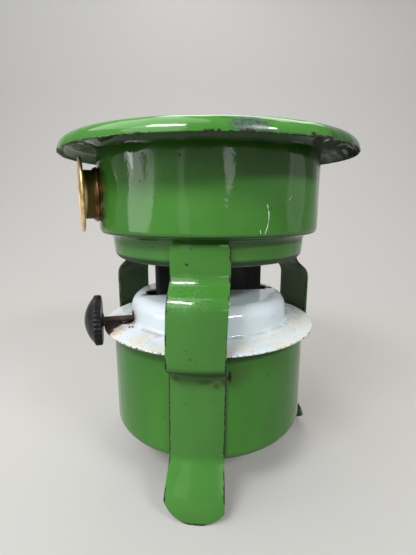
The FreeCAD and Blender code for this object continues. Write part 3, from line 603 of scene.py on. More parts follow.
def inside_curl(finish):
    """1 on the flange's inner face."""
    from_middle = finish.diagonal(finish.math("SUBTRACT", finish.radius, CURL_RADIUS),
                                  finish.math("SUBTRACT", finish.z, CURL_Z))
    return finish.either(finish.ramp(from_middle, *CURL_INSIDE), finish.zone(*UNDER_SHEET))


def curl_painted_shade(finish, colour, roughness):
    """Painted shade: black and matt inside the curl, on the right."""
    # Painted shade: black inside the curl on the right, kept green on a patch at its left end.
    curl_shade = finish.spot((82.0, -28.0, 216.0), (22.0, 56.0, 12.0), 0.4, 0.006, 0.3)
    left_green = finish.spot((90.5, -20.0, 217.0), (6.0, 9.0, 4.0), 0.6, 0.004, 0.3)
    curl_shade = finish.both(inside_curl(finish), curl_shade, finish.patches(0.008, 4.0, 0.66, 0.56),
                        finish.values(1.0, 0.25, left_green))
    return finish.colours(colour, CURL_SHADE_BLACK, curl_shade), finish.values(roughness, 0.85, curl_shade)


def flange_scuffs_and_shade(finish, colour, roughness):
    """A ground scuff and two smudges on the front, and mottled painted shade on the right."""
    scuff = finish.spot((25.0, -90.4, 216.4), (8.8, 6.0, 3.9), 0.75, 0.004, 0.3)
    speckle = finish.patches(0.0011, 3.0, 0.50, 0.60)
    colour = finish.colours(colour, SCUFFED, scuff)
    colour = finish.colours(colour, SCUFF_SPECKS, finish.both(scuff, speckle), 0.8)
    colour = finish.colours(colour, SMUDGED, finish.spots(SMUDGES), 0.7)
    # Painted shade: the flange is darkened on the right, in mottled patches.
    right_shade = finish.spot((78.0, -50.0, 217.5), (23.0, 33.0, 9.0), 0.5, 0.010, 0.4)
    mottled = finish.patches(0.0045, 4.0, 0.50, 0.62)
    colour = finish.colours(colour, RIGHT_RIM_SHADE, finish.both(right_shade, finish.values(0.7, 0.95, mottled)))
    return colour, finish.values(roughness, 0.30, scuff)


print("middle of the curl: radius", CURL_RADIUS, "height", CURL_Z)

# %% [markdown]
# A scratch through enamel is a pale broken line. The soot inside is thickest at the bottom and
# thins out towards the mouth, where the flame burns it off.

# %% Drum wall and inside
DRUM_RUN_HEIGHT = 0.0015
SCRATCH_PALE = (0.62, 0.68, 0.60)
FLOOR_EDGE_GREEN = (0.150, 0.235, 0.110)
SOOT = (0.012, 0.013, 0.010)
FLOOR_EDGE = ((0.0560, 0.0590), (0.1489, 0.1480))
INSIDE_WALL = ((0.0736, 0.0731), (0.1650, 0.1656))
INSIDE_STEP = ((0.0650, 0.0644), (0.1482, 0.1487))
SOOT_FADES = (0.2180, 0.1750)
SCRATCHES = [
    # start, end, half width and wander
    ((36.4, -64.4, 183.0), (37.6, -63.7, 177.0), 0.28, 0.5),
    ((37.6, -63.7, 177.0), (36.9, -64.1, 171.5), 0.24, 0.8),
    ((36.9, -64.1, 171.5), (35.2, -65.1, 165.6), 0.26, 0.8),
    ((32.9, -66.3, 170.4), (33.2, -66.1, 167.6), 0.16, 0.4),
    ((33.9, -65.8, 167.2), (34.3, -65.6, 164.6), 0.16, 0.4),
    ((48.6, -55.8, 184.6), (52.3, -52.3, 189.6), 0.12, 1.2),
]


def wall_scratches(finish, colour, roughness):
    broken = finish.patches(0.0018, 2.0, 0.36, 0.50)
    scratches = finish.both(finish.lines(SCRATCHES), broken)
    return finish.colours(colour, SCRATCH_PALE, scratches), finish.values(roughness, 0.6, scratches)


def drum_soot(finish, colour, roughness):
    """Paler green on the edge of the floor, and soot inside the wall and above the floor."""
    # A paler green band on the edge of the floor.
    colour = finish.colours(colour, FLOOR_EDGE_GREEN, finish.zone(*FLOOR_EDGE), 0.6)
    inside = finish.either(finish.zone(*INSIDE_WALL), finish.zone(*INSIDE_STEP))
    cloudy = finish.values(0.65, 1.0, finish.clouds(0.012, 4.0))
    soot = finish.both(inside, finish.ramp(finish.z, *SOOT_FADES), cloudy)
    return finish.colours(colour, SOOT, soot), finish.values(roughness, 0.75, soot)


# Two of these also paint shade on the flange.
DRUM_WEAR_AND_SHADE = (curl_painted_shade, flange_scuffs_and_shade, wall_scratches, drum_soot)
dress("drum", enamel("drum_enamel", GREEN, GREEN_DEEP, drum_chips, DRUM_WEAR_AND_SHADE, DRUM_RUN_HEIGHT))

# %% [markdown]
# ### The tank
#
# The tank is one deep cup. Its wall is the smoothest enamel on the stove; only its seam under the
# brim, its bottom corner and a place beside the front strap show chips, with a few pinholes
# scattered between.

# %% Tank shell
TANK_GREEN = (0.046, 0.182, 0.024)
TANK_MIRROR = 0.22
RUSTY_WATER = (0.045, 0.055, 0.016)
SEAM_Z = (0.0958, 0.0968)
CORNER_Z = (0.0290, 0.0296)
TANK_CHIPS = [
    # place, half sizes, raggedness and grain
    ((17.9, -65.8, 85.0), (1.0, 1.4, 3.8), 1.0, 0.0014),
    ((60.6, -30.8, 46.0), (0.6, 0.6, 1.0), 0.6),
]


def tank_chips(finish):
    crumbs = finish.clouds(0.0028, 3.0)
    seam = finish.both(finish.ramp(finish.z, *SEAM_Z), finish.ramp(crumbs, 0.50, 0.60))
    corner = finish.both(finish.band(finish.z, *CORNER_Z, 0.0004), finish.ramp(crumbs, 0.56, 0.64))
    return finish.either(seam, corner, finish.spots(TANK_CHIPS))


def tank_stains(finish, colour, roughness):
    """Rusty water from the seam, beside the front strap."""
    run = finish.spot((24.0, -63.4, 86.0), (7.0, 6.0, 6.0), 1.0, 0.004, 0.7)
    return finish.colours(colour, RUSTY_WATER, run, 0.45), roughness


glass = enamel("tank_enamel", TANK_GREEN, GREEN_DEEP, tank_chips, [tank_stains], mirror=TANK_MIRROR)
dress("tank_shell", glass)

# %% [markdown]
# ## Straps
#
# Each leg is one strip of 1.7 mm steel, bent six times. A strip is easiest to make as its side
# view: the bends are drawn as a line, and each corner of the line is rounded, as the bending tool
# would round it.

# %% Side view of a strap
STRAP_SIDE_VIEW = [
    # radius, height and bend radius of the strip's mid-line
    (67.15, 161.6, 0.0),
    (67.15, 140.9, 10.5),
    (79.35, 131.4, 10.5),
    (79.35, 94.2, 4.0),
    (68.85, 87.5, 4.0),
    (68.85, 32.0, 10.0),
    (81.4, 9.5, 38.0),
    (82.0, 0.0, 0.0),
]
BEND_STEPS = 6
LONGEST_STEP = 3.0


def bent_line(corners):
    """Points of a line with each corner rounded to its bend radius."""
    points = [Vector(corners[0][:2])]
    for before, corner, after in zip(corners, corners[1:], corners[2:]):
        here = Vector(corner[:2])
        back = (Vector(before[:2]) - here).normalized()
        ahead = (Vector(after[:2]) - here).normalized()
        half = back.angle(ahead) / 2
        reach = corner[2] / math.tan(half)
        centre = here + (back + ahead).normalized() * (corner[2] / math.sin(half))
        first = (here + back * reach - centre).normalized()
        last = (here + ahead * reach - centre).normalized()
        for step in range(BEND_STEPS + 1):
            points.append(centre + first.slerp(last, step / BEND_STEPS) * corner[2])
    points.append(Vector(corners[-1][:2]))
    return points


def short_steps(points):
    """The same line with its long straights divided."""
    line = [points[0]]
    for point in points[1:]:
        count = max(1, int((point - line[-1]).length / LONGEST_STEP))
        start = line[-1].copy()
        line += [start.lerp(point, (step + 1) / count) for step in range(count)]
    return line


strap_line = short_steps(bent_line(STRAP_SIDE_VIEW))
print("strap line:", len(strap_line), "points")

# %% [markdown]
# The line is swung about the stove's axis. That gives the strip its width and the gentle crown with
# which it lies on the round tank. Its outline is then trimmed with straight cuts, as a maker would
# shear it.

# %% Sheet and shears
STRAP_SWING = math.radians(36)
SWING_STEPS = 24
STRAP_HALF_WIDTH = 16.5
CORNER_CUT = 2.2
CORNER_ROUND = 0.65


def swung_sheet():
    """The side view swung about the stove's axis, with its middle at the front."""
    shape = drawn_line(strap_line)
    start = Matrix.Rotation(-math.pi / 2 - STRAP_SWING / 2, 3, "Z")
    bmesh.ops.rotate(shape, verts=shape.verts, cent=(0, 0, 0), matrix=start)
    bmesh.ops.spin(shape, geom=shape.verts[:] + shape.edges[:], cent=(0, 0, 0), axis=UP, angle=STRAP_SWING,
                   steps=SWING_STEPS)
    return shape


def shear(shape, start, end):
    """Cut away what lies to the right of a line in the front view (across, up)."""
    way = (end - start).normalized()
    parts = shape.verts[:] + shape.edges[:] + shape.faces[:]
    bmesh.ops.bisect_plane(shape, geom=parts, dist=SAME_POINT, plane_co=(start.x * MM, 0, start.y * MM),
                           plane_no=(way.y, 0, -way.x), clear_outer=True)


def shear_sides(shape):
    """Cut both long edges, and take the two corners off the top."""
    top = STRAP_SIDE_VIEW[0][1]
    for side in (-1, 1):
        low = Vector((side * STRAP_HALF_WIDTH, 0))
        high = Vector((side * STRAP_HALF_WIDTH, top))
        shoulder = Vector((side * STRAP_HALF_WIDTH, top - CORNER_CUT))
        corner = Vector((side * (STRAP_HALF_WIDTH - CORNER_ROUND), top - CORNER_ROUND))
        tip = Vector((side * (STRAP_HALF_WIDTH - CORNER_CUT), top))
        for first, second in ((low, high), (shoulder, corner), (corner, tip)):
            if side > 0:
                shear(shape, first, second)
            else:
                shear(shape, second, first)


print("strap width:", 2 * STRAP_HALF_WIDTH, "mm")

# %% [markdown]
# The foot is a little wider than the strap, and its toe is cut to an arc. No two toes are alike on
# the real stove, so each is given by three points.

# %% Foot
FOOT_HALF_WIDTH = 18.0
HEEL_Z = 34.0
FOOT_FLARE_Z = 10.5
TOE_STEPS = 12


def foot_share(height):
    """0 on the strap and 1 on the foot, smooth between them."""
    share = min(1.0, max(0.0, (HEEL_Z - height / MM) / (HEEL_Z - FOOT_FLARE_Z)))
    return share * share * (3 - 2 * share)


def arc_through(left, low, right):
    """Points of the circle through three points, from the first to the last."""
    middle_a = (left + low) / 2
    middle_b = (low + right) / 2
    normal_a = Vector((-(low - left).y, (low - left).x))
    normal_b = Vector((-(right - low).y, (right - low).x))
    gap = middle_b - middle_a
    reach = (gap.x * normal_b.y - gap.y * normal_b.x) / (normal_a.x * normal_b.y - normal_a.y * normal_b.x)
    centre = middle_a + normal_a * reach
    radius = (left - centre).length
    start = math.atan2(left.y - centre.y, left.x - centre.x)
    end = math.atan2(right.y - centre.y, right.x - centre.x)
    if end < start:
        end += 2 * math.pi
    angles = [start + (end - start) * step / TOE_STEPS for step in range(TOE_STEPS + 1)]
    return [centre + Vector((math.cos(angle), math.sin(angle))) * radius for angle in angles]


def shape_foot(shape, toe):
    """Widen the foot and cut its toe."""
    for vert in shape.verts:
        vert.co.x *= 1 + (FOOT_HALF_WIDTH / STRAP_HALF_WIDTH - 1) * foot_share(vert.co.z)
    cuts = arc_through(*[Vector(point) for point in toe])
    for first, second in zip(cuts, cuts[1:]):
        shear(shape, first, second)


print("foot width:", 2 * FOOT_HALF_WIDTH, "mm")

# %% [markdown]
# Chips follow the strip's edges, so the sheet carries a map of where its edges are. The front strap
# also leans a little, as if it had been knocked: thin slices of it are turned about the stove's
# axis by small angles.

# %% Map and lean


def map_strip(shape):
    """Map across the strip from -1 to 1, and along its height in millimetres."""
    strip = shape.loops.layers.uv.new("strip")
    for face in shape.faces:
        for loop in face.loops:
            place = loop.vert.co
            half_width = STRAP_HALF_WIDTH + (FOOT_HALF_WIDTH - STRAP_HALF_WIDTH) * foot_share(place.z)
            loop[strip].uv = (place.x / MM / half_width, place.z / MM)


def lean_strap(shape, leans):
    """Turn the sheet by the angle given for each height, in degrees."""
    for vert in shape.verts:
        height = vert.co.z / MM
        for (low, low_lean), (high, high_lean) in zip(leans, leans[1:]):
            if height <= high:
                break
        share = max(0.0, (height - low) / (high - low))
        lean = math.radians(low_lean + (high_lean - low_lean) * share)
        vert.co = Matrix.Rotation(lean, 3, "Z") @ vert.co


FRONT_LEANS = [(0.0, -1.35), (112.0, 0.0), (145.0, 1.1), (170.0, 1.2)]
UPRIGHT = [(0.0, 0.0), (170.0, 0.0)]
print("front strap leans:", FRONT_LEANS)

# %% [markdown]
# Now the steps come together. Solidify gives the sheet its thickness, and Bevel the thick soft edge
# that enamel always has.

# %% Whole strap
STRAP_THICKNESS = 1.7
EDGE_ROUNDING = 0.7
EDGE_SEGMENTS = 3
EDGE_ANGLE = math.radians(50)
STRAPS = {
    # azimuth; left end, lowest point and right end of the toe's arc, across and up; leans
    "leg_front": (0.0, [(-19.0, 12.6), (2.4, -0.35), (18.6, 7.0)], FRONT_LEANS),
    "leg_right": (120.0, [(-18.4, 8.0), (-1.0, -0.35), (18.4, 9.0)], UPRIGHT),
    "leg_left": (240.0, [(-18.4, 10.0), (0.5, -0.35), (18.4, 10.0)], UPRIGHT),
}


def thicken(strap):
    thick = strap.modifiers.new("thickness", "SOLIDIFY")
    thick.thickness = STRAP_THICKNESS * MM
    thick.offset = 0.0
    thick.use_even_offset = True
    soft = strap.modifiers.new("soft_edges", "BEVEL")
    soft.width = EDGE_ROUNDING * MM
    soft.segments = EDGE_SEGMENTS
    soft.limit_method = "ANGLE"
    soft.angle_limit = EDGE_ANGLE


def make_strap(name, azimuth, toe, leans):
    """One leg, turned to its place round the tank."""
    shape = swung_sheet()
    shear_sides(shape)
    shape_foot(shape, toe)
    map_strip(shape)
    lean_strap(shape, leans)
    place = Matrix.Rotation(math.radians(azimuth), 3, "Z")
    bmesh.ops.rotate(shape, verts=shape.verts, cent=(0, 0, 0), matrix=place)
    bmesh.ops.remove_doubles(shape, verts=shape.verts, dist=2 * SAME_POINT)
    bmesh.ops.recalc_face_normals(shape, faces=shape.faces)
    outward = sum(face.normal.xy.dot(face.calc_center_median().xy) for face in shape.faces)
    if outward < 0:
        bmesh.ops.reverse_faces(shape, faces=shape.faces)
    strap = to_object(name, shape)
    thicken(strap)
    return strap


straps = {node: make_strap(node + "_strap", *row) for node, row in STRAPS.items()}

# %% [markdown]
# Enamel draws back from a sheared edge when it melts, and the thin rim of glass soon breaks off. So
# each strap has a dark ragged line along both edges, most of all where it lies on the tank.

# %% Strap chips
STRAP_GRAIN = 0.0016
SIDE_EDGE = (1.010, 1.018)
TOP_EDGE = (0.16215, 0.16235)
TOE_EDGE = (0.0018, 0.0006)
ON_TANK = (0.034, 0.0880)
FRONT_SPOTS = [
    # place, half sizes and raggedness
    ((18.0, -65.8, 160.6), (1.3, 2.0, 1.2), 0.7),
    ((-5.9, -67.8, 150.7), (0.9, 1.0, 0.8), 0.5),
    ((-16.4, -68.0, 150.5), (0.8, 4.0, 5.5), 0.9),
    ((-2.8, -80.2, 101.6), (0.5, 0.5, 0.5), 0.4),
    ((16.6, -76.0, 97.0), (0.9, 5.0, 5.0), 1.0),
    ((-16.6, -76.0, 96.0), (0.8, 5.0, 3.0), 1.0),
    ((-19.2, -66.9, 41.0), (1.1, 1.5, 5.5), 0.8),
    ((8.0, -79.5, 101.0), (0.3, 0.3, 0.3), 0.3),
]


def strap_chips(spots):
    """Chips along the strip's edges, most where it lies on the tank, and the spots given."""

    def bare(finish):
        strip = finish.tree.nodes.new("ShaderNodeUVMap")
        strip.uv_map = "strip"
        from_middle = finish.math("ABSOLUTE", finish.axes(strip.outputs[0])[0])
        crumbs = finish.clouds(0.0015, 2.0, stretch=(1, 1, 1.4))
        ragged = finish.math("ADD", from_middle, finish.math("MULTIPLY", crumbs, 0.11))
        on_tank = finish.band(finish.z, *ON_TANK, 0.002)
        patchy = finish.patches(0.009, 1.0, 0.50, 0.58)
        sides = finish.both(finish.ramp(ragged, *SIDE_EDGE), finish.either(on_tank, patchy))
        ragged_height = finish.math("ADD", finish.z, finish.math("MULTIPLY", crumbs, 0.0006))
        top = finish.ramp(ragged_height, *TOP_EDGE)
        toe = finish.both(finish.ramp(finish.z, *TOE_EDGE), finish.ramp(crumbs, 0.38, 0.48))
        return finish.either(sides, top, toe, *[finish.spot(*row, STRAP_GRAIN) for row in spots])

    return bare


print("spots on the front strap:", len(FRONT_SPOTS))

# %% [markdown]
# Rust runs out of the corners of the front strap, and an oily patch on its shoulder is glossier and
# lightened as a painted sheen. The inner faces and necks of the rear straps are darkened as painted
# shade.

# %% Strap stains and painted light
DRIED_RUST = (0.040, 0.034, 0.012)
THICK_RUST = (0.120, 0.050, 0.016)
SHEEN_GREEN = (0.13, 0.24, 0.11)
# Colour of the painted shade on the rear straps.
REAR_SHADE_GREEN = (0.010, 0.034, 0.006)
REAR_INNER = ((0.0800, 0.0792), (0.0885, 0.0905))
FRONT_RUSTY = [
    # place, half sizes, raggedness, grain and edge
    ((3.9, -69.6, 83.4), (3.6, 2.0, 1.6), 1.0, 0.002, 0.6),
    ((10.9, -68.8, 80.8), (1.7, 2.0, 1.8), 1.0, 0.002, 0.5),
    ((15.0, -67.6, 84.0), (2.6, 2.0, 2.8), 1.0, 0.002, 0.6),
    ((-13.5, -68.0, 84.6), (2.4, 2.0, 1.6), 1.0, 0.002, 0.6),
]
FRONT_RUST = [
    ((16.2, -74.0, 90.5), (1.8, 8.0, 3.0), 1.0, 0.0014),
    ((-16.4, -74.0, 92.0), (1.0, 8.0, 2.4), 1.0, 0.0014),
]


def front_stains_and_sheen(finish, colour, roughness):
    """Rusty water has dried where the strap meets the tank. An oily patch on its shoulder is glossier, and
    lightened as a painted sheen.
    """
    rusty = finish.spots(FRONT_RUSTY)
    colour = finish.colours(colour, DRIED_RUST, rusty, 0.7)
    colour = finish.colours(colour, THICK_RUST, finish.spots(FRONT_RUST), 0.8)
    roughness = finish.values(roughness, 0.5, rusty)
    painted_light_patch = finish.both(finish.spot((-6.0, -76.0, 134.0), (12.0, 12.0, 9.0), 0.5, 0.006, 0.6),
                         finish.patches(0.0016, 4.0, 0.44, 0.62))
    # Painted sheen: the oily patch on the shoulder is lightened towards a pale green.
    colour = finish.colours(colour, SHEEN_GREEN, painted_light_patch, 0.28)
    return colour, finish.values(roughness, 0.22, finish.math("MULTIPLY", painted_light_patch, 0.8))


def rear_painted_shade(finish, colour, roughness):
    """Painted shade: the inner faces and the necks of the rear straps are darkened."""
    # Painted shade on the rear straps' inner faces and necks, in cloudy patches.
    painted_light_patch = finish.both(finish.zone(*REAR_INNER), finish.values(0.75, 1.0, finish.clouds(0.010, 3.0)))
    return finish.colours(colour, REAR_SHADE_GREEN, painted_light_patch), finish.values(roughness, 0.5, painted_light_patch)


print("rusty stains on the front strap:", len(FRONT_RUSTY) + len(FRONT_RUST))

# %% [markdown]
# The three straps differ only in their toes, their lean, their chips, their stains and their
# painted light. Each now takes its enamel, and the place of its plain piece in the frame.

# %% Straps to the frame
STRAP_GREEN = (0.046, 0.172, 0.025)
STRAP_GREEN_DEEP = (0.029, 0.121, 0.016)
STRAP_WEAR_AND_SHADE = {
    "leg_front": (FRONT_SPOTS, [front_stains_and_sheen]),
    "leg_right": ([], [rear_painted_shade]),
    "leg_left": ([], [rear_painted_shade]),
}
# The stains of each strap include the rear straps' painted shade and the front strap's painted sheen.
for node, (spots, stains) in STRAP_WEAR_AND_SHADE.items():
    strap = straps[node]
    glass = enamel(node + "_enamel", STRAP_GREEN, STRAP_GREEN_DEEP, strap_chips(spots), stains)
    strap.data.materials.append(glass)
    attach(strap, "stand")
    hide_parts(node)
    print(strap.name, "stands in for", node)

# %% [markdown]
# ## White cover
#
# The hat over the burner is white enamel with a cool tint. Kerosene and heat have stained its brim
# a dirty cream, and the glass has broken away to black and rust round the spindle's hole and at the
# ends of the slot. On a stretch of the brim under the spindle, the black chips and rust also stand
# for the spindle's shadow: painted shadow.

# %% Cover chips and painted shadow
BRIM_EDGE = (0.0742, 0.0748)
COVER_CHIPS_AND_SHADOW = [
    # place, half sizes and raggedness
    ((-50.6, -26.0, 106.5), (3.4, 5.2, 5.6), 0.4),
    # The next four rows, on the brim under the spindle, are also the spindle's painted shadow.
    ((-52.5, -28.5, 102.0), (5.0, 4.0, 3.0), 0.5),
    ((-63.0, -28.5, 101.0), (8.5, 10.5, 4.0), 0.35),
    ((-62.5, -41.0, 99.5), (5.0, 6.5, 3.5), 0.4),
    ((-46.5, -37.0, 101.5), (3.2, 3.0, 2.5), 0.8),
    ((-39.5, -19.5, 121.6), (5.0, 1.8, 1.6), 0.7),
    ((-33.5, -15.6, 122.0), (4.5, 1.1, 1.4), 0.7),
    ((36.0, 4.2, 121.8), (7.0, 1.2, 1.4), 0.6),
    ((44.5, 10.5, 121.2), (2.6, 2.6, 1.4), 0.6),
]


def cover_chips_and_shadow(finish):
    crumbs = finish.clouds(0.0013, 3.0)
    brim_edge = finish.both(finish.ramp(finish.radius, *BRIM_EDGE), finish.ramp(crumbs, 0.53, 0.60))
    return finish.either(brim_edge, finish.spots(COVER_CHIPS_AND_SHADOW))


print("chips on the cover:", len(COVER_CHIPS_AND_SHADOW))

# %% [markdown]
# The dirt lies in layers: a thin cream film, then flecks and specks, on the brim alone; over them
# rust has run out of the chips. The corner between brim and wall is darker grey in patches.

# %% Burner cover
WHITE = (0.565, 0.64, 0.69)
WHITE_DEEP = (0.505, 0.575, 0.62)
WHITE_MIRROR = 0.5
CREAM = (0.60, 0.56, 0.44)
FLECK_BROWN = (0.40, 0.33, 0.20)
SPECK_GREY = (0.20, 0.18, 0.13)
RUST_ORANGE = (0.330, 0.120, 0.020)
HOLE_RUST = (0.200, 0.075, 0.018)
ROOT_GREY = (0.22, 0.21, 0.17)
BRIM = ((0.0575, 0.0625), (0.1070, 0.1045))
BRIM_ROOT = (0.0566, 0.0590)
BRIM_ROOT_Z = (0.1085, 0.1065)
COVER_RUST = [
    # place, half sizes, raggedness, grain and edge
    ((-32.0, -47.5, 102.6), (5.0, 3.4, 2.0), 0.9, 0.003, 0.5),
    ((-26.0, -52.0, 103.2), (4.0, 2.5, 1.5), 0.9, 0.003, 0.5),
    ((-40.0, -20.5, 121.4), (7.5, 3.4, 2.4), 0.7, 0.003, 0.5),
    ((-49.0, -31.0, 107.5), (4.5, 4.0, 8.0), 0.7, 0.003, 0.5),
    ((36.0, 4.4, 121.6), (9.0, 2.6, 2.4), 0.7, 0.003, 0.5),
    ((-58.0, -37.0, 101.0), (8.0, 9.0, 3.0), 0.8, 0.003, 0.5),
    ((-50.0, -25.0, 105.5), (5.0, 7.0, 8.0), 0.7, 0.003, 0.5),
]


def brim_dirt(finish, colour, roughness):
    on_brim = finish.zone(*BRIM)
    dirty = finish.both(on_brim, finish.patches(0.012, 5.0, 0.38, 0.62))
    flecks = finish.both(on_brim, finish.patches(0.0045, 4.0, 0.60, 0.70))
    specks = finish.both(on_brim, finish.patches(0.0014, 3.0, 0.62, 0.70))
    colour = finish.colours(colour, CREAM, dirty, 0.62)
    colour = finish.colours(colour, FLECK_BROWN, flecks, 0.55)
    colour = finish.colours(colour, SPECK_GREY, specks, 0.5)
    return colour, finish.values(roughness, 0.34, dirty)


def cover_rust(finish, colour, roughness):
    colour = finish.colours(colour, RUST_ORANGE, finish.spots(COVER_RUST), 0.42)
    at_hole = finish.both(finish.spot((-49.5, -29.5, 106.5), (4.0, 5.0, 6.5), 0.8, 0.0025, 0.3),
                          finish.patches(0.0016, 4.0, 0.42, 0.56))
    colour = finish.colours(colour, HOLE_RUST, at_hole, 0.75)
    # Darker grey patches in the corner between brim and wall.
    root = finish.both(finish.band(finish.radius, *BRIM_ROOT, 0.0008), finish.ramp(finish.z, *BRIM_ROOT_Z))
    root_grey_patches = finish.both(root, finish.patches(0.006, 4.0, 0.40, 0.62))
    return finish.colours(colour, ROOT_GREY, root_grey_patches, 0.45), roughness


glass = enamel("white_enamel", WHITE, WHITE_DEEP, cover_chips_and_shadow, (brim_dirt, cover_rust), mirror=WHITE_MIRROR)
dress("burner_cover", glass)

# %% [markdown]
# ## Sooted steel
#
# The box over the wick is thin steel that has been red hot many times. What is left is black scale:
# matt, with a faint sheen where fingers rubbed it, and grey-brown where it flaked.

# %% Housing and deflector
SCALE_BLACK = (0.0085, 0.0085, 0.0090)
RUBBED_BLACK = (0.022, 0.021, 0.021)
FLAKED_BROWN = (0.050, 0.030, 0.020)
SOOT_MIRROR = 0.15


def sooted_material():
    finish = Finish("sooted_steel")
    finish.shader.inputs["Specular IOR Level"].default_value = SOOT_MIRROR
    sheen = finish.patches(0.010, 5.0, 0.42, 0.70, stretch=(1, 1, 2))
    colour = finish.colours(SCALE_BLACK, RUBBED_BLACK, sheen)
    colour = finish.colours(colour, FLAKED_BROWN, finish.patches(0.0035, 5.0, 0.63, 0.71), 0.7)
    finish.relief(finish.clouds(0.0016, 3.0), 0.00008)
    finish.relief(finish.clouds(0.030, 1.0), 0.0006)
    return finish.done(colour, finish.values(0.62, 0.36, sheen))


sooted = sooted_material()
for node in ("burner_housing", "flame_deflector"):
    dress(node, sooted)

# %% [markdown]
# ## Knob
#
# The knob is moulded bakelite: a ribbed band for the fingers and a plain dome. Its ribs are
# rounded, not cut, so the knob is swung in many small steps, eight for each rib. Its side view
# starts at the bottom of the bore, which holds a brass bush.

# %% Side view of the knob
BURNER_AZIMUTH = math.radians(-71.4)
SPINDLE_WAY = Vector((math.sin(BURNER_AZIMUTH), -math.cos(BURNER_AZIMUTH), 0))
SPINDLE_SIDE = Vector((-SPINDLE_WAY.y, SPINDLE_WAY.x, 0))
SPINDLE_OFFSET = 9.0
SPINDLE_Z = 106.5
KNOB_BACK = 75.6
KNOB_RIBS = 34
KNOB_STEPS_PER_RIB = 8
KNOB_SIDE_VIEW = [
    # radius and distance in front of the knob's back
    (0.0, 8.05), (3.25, 8.05), (3.25, -1.1), (4.0, -1.1), (4.4, -0.8), (4.6, 0.0),
    (8.0, 0.0), (12.0, 0.05), (15.4, 0.0), (16.3, 0.25), (16.75, 0.8), (16.8, 1.6),
    (16.8, 3.4), (16.75, 4.2), (16.4, 4.75), (15.75, 5.0), (15.1, 5.35), (14.0, 6.25),
    (12.4, 7.45), (10.4, 8.65), (8.0, 9.75), (5.4, 10.6), (2.8, 11.15), (0.0, 11.35),
]
print("knob side view:", len(KNOB_SIDE_VIEW), "points")

# %% [markdown]
# The side view is swung once round, which closes it at both ends of the axis. The ribs are pressed
# in afterwards, and the whole shape is laid on the spindle's line.

# %% Knob moulding
GRIP_FROM = 15.2
GRIP_BLEND = 1.2
GRIP_END = 5.6
RIB_DEPTH = 0.052
RIB_ROUNDNESS = 0.8


def swung_knob():
    """The side view swung once round the Z axis."""
    shape = drawn_line(KNOB_SIDE_VIEW)
    bmesh.ops.spin(shape, geom=shape.verts[:] + shape.edges[:], cent=(0, 0, 0), axis=UP, angle=2 * math.pi,
                   steps=KNOB_RIBS * KNOB_STEPS_PER_RIB, use_merge=True)
    bmesh.ops.remove_doubles(shape, verts=shape.verts, dist=SAME_POINT)
    return shape


def press_ribs(shape):
    """Draw the grip in between its ribs."""
    for vert in shape.verts:
        radius = math.hypot(vert.co.x, vert.co.y)
        grip = min(1.0, max(0.0, (radius / MM - GRIP_FROM) / GRIP_BLEND))
        if vert.co.z > GRIP_END * MM:
            grip = 0.0
        phase = math.atan2(vert.co.y, vert.co.x) * KNOB_RIBS
        dip = (1 - abs(math.cos(phase / 2))) ** RIB_ROUNDNESS
        vert.co.xy *= 1 - RIB_DEPTH * dip * grip


def make_knob():
    shape = swung_knob()
    press_ribs(shape)
    bmesh.ops.recalc_face_normals(shape, faces=shape.faces)
    toward = Matrix((SPINDLE_SIDE.cross(SPINDLE_WAY), SPINDLE_SIDE, SPINDLE_WAY)).transposed()
    bmesh.ops.transform(shape, matrix=toward.to_4x4(), verts=shape.verts)
    start = SPINDLE_SIDE * (SPINDLE_OFFSET * MM) + UP * (SPINDLE_Z * MM)
    bmesh.ops.translate(shape, vec=start + SPINDLE_WAY * (KNOB_BACK * MM), verts=shape.verts)
    return to_object("knob_moulding", shape)


knob = make_knob()

# %% [markdown]
# Bakelite is black with a slightly waxy gloss, and dust stays between the ribs.

# %% Bakelite
BAKELITE = (0.005, 0.005, 0.0055)
BAKELITE_SWIRL = (0.010, 0.0098, 0.0098)
KNOB_DUST = (0.060, 0.056, 0.050)
BAKELITE_MIRROR = 0.2


def bakelite_material():
    finish = Finish("bakelite")
    finish.shader.inputs["Specular IOR Level"].default_value = BAKELITE_MIRROR
    swirl = finish.patches(0.006, 4.0, 0.35, 0.70)
    colour = finish.colours(BAKELITE, BAKELITE_SWIRL, swirl)
    colour = finish.colours(colour, KNOB_DUST, finish.patches(0.0025, 4.0, 0.58, 0.72), 0.12)
    finish.relief(finish.clouds(0.0010, 2.0), 0.00002)
    return finish.done(colour, finish.values(0.28, 0.42, swirl))


knob.data.materials.append(bakelite_material())
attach(knob, "winder")
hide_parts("knob")
print(knob.name, "stands in for knob")

# %% [markdown]
# ## Spindle and rust
#
# The spindle was bare steel wire. It is now dark brown scale with small orange blooms and pits.

# %% Rusty steel
SPINDLE_ROUGHNESS = 0.82


def rusty_material():
    finish = Finish("rusty_steel", SPINDLE_ROUGHNESS)
    bloom = finish.patches(0.0022, 5.0, 0.44, 0.66)
    finish.relief(finish.clouds(0.0007, 4.0), 0.00022)
    return finish.done(finish.colours((0.018, 0.011, 0.008), (0.060, 0.027, 0.011), bloom))


dress("spindle", rusty_material())

# %% [markdown]
# ## Brass
#
# Only the window's frame shows brass in daylight: its flange is golden and hand-rubbed, and its
# neck, set back behind the flange, is painted brown as shade. The burner's own brass has gone dull
# and dark. One recipe makes both, with the share of tarnish as its setting.

# %% Brass recipe
BRASS_METALLIC = 0.85
NECK_SHADE_EDGE = 0.0008


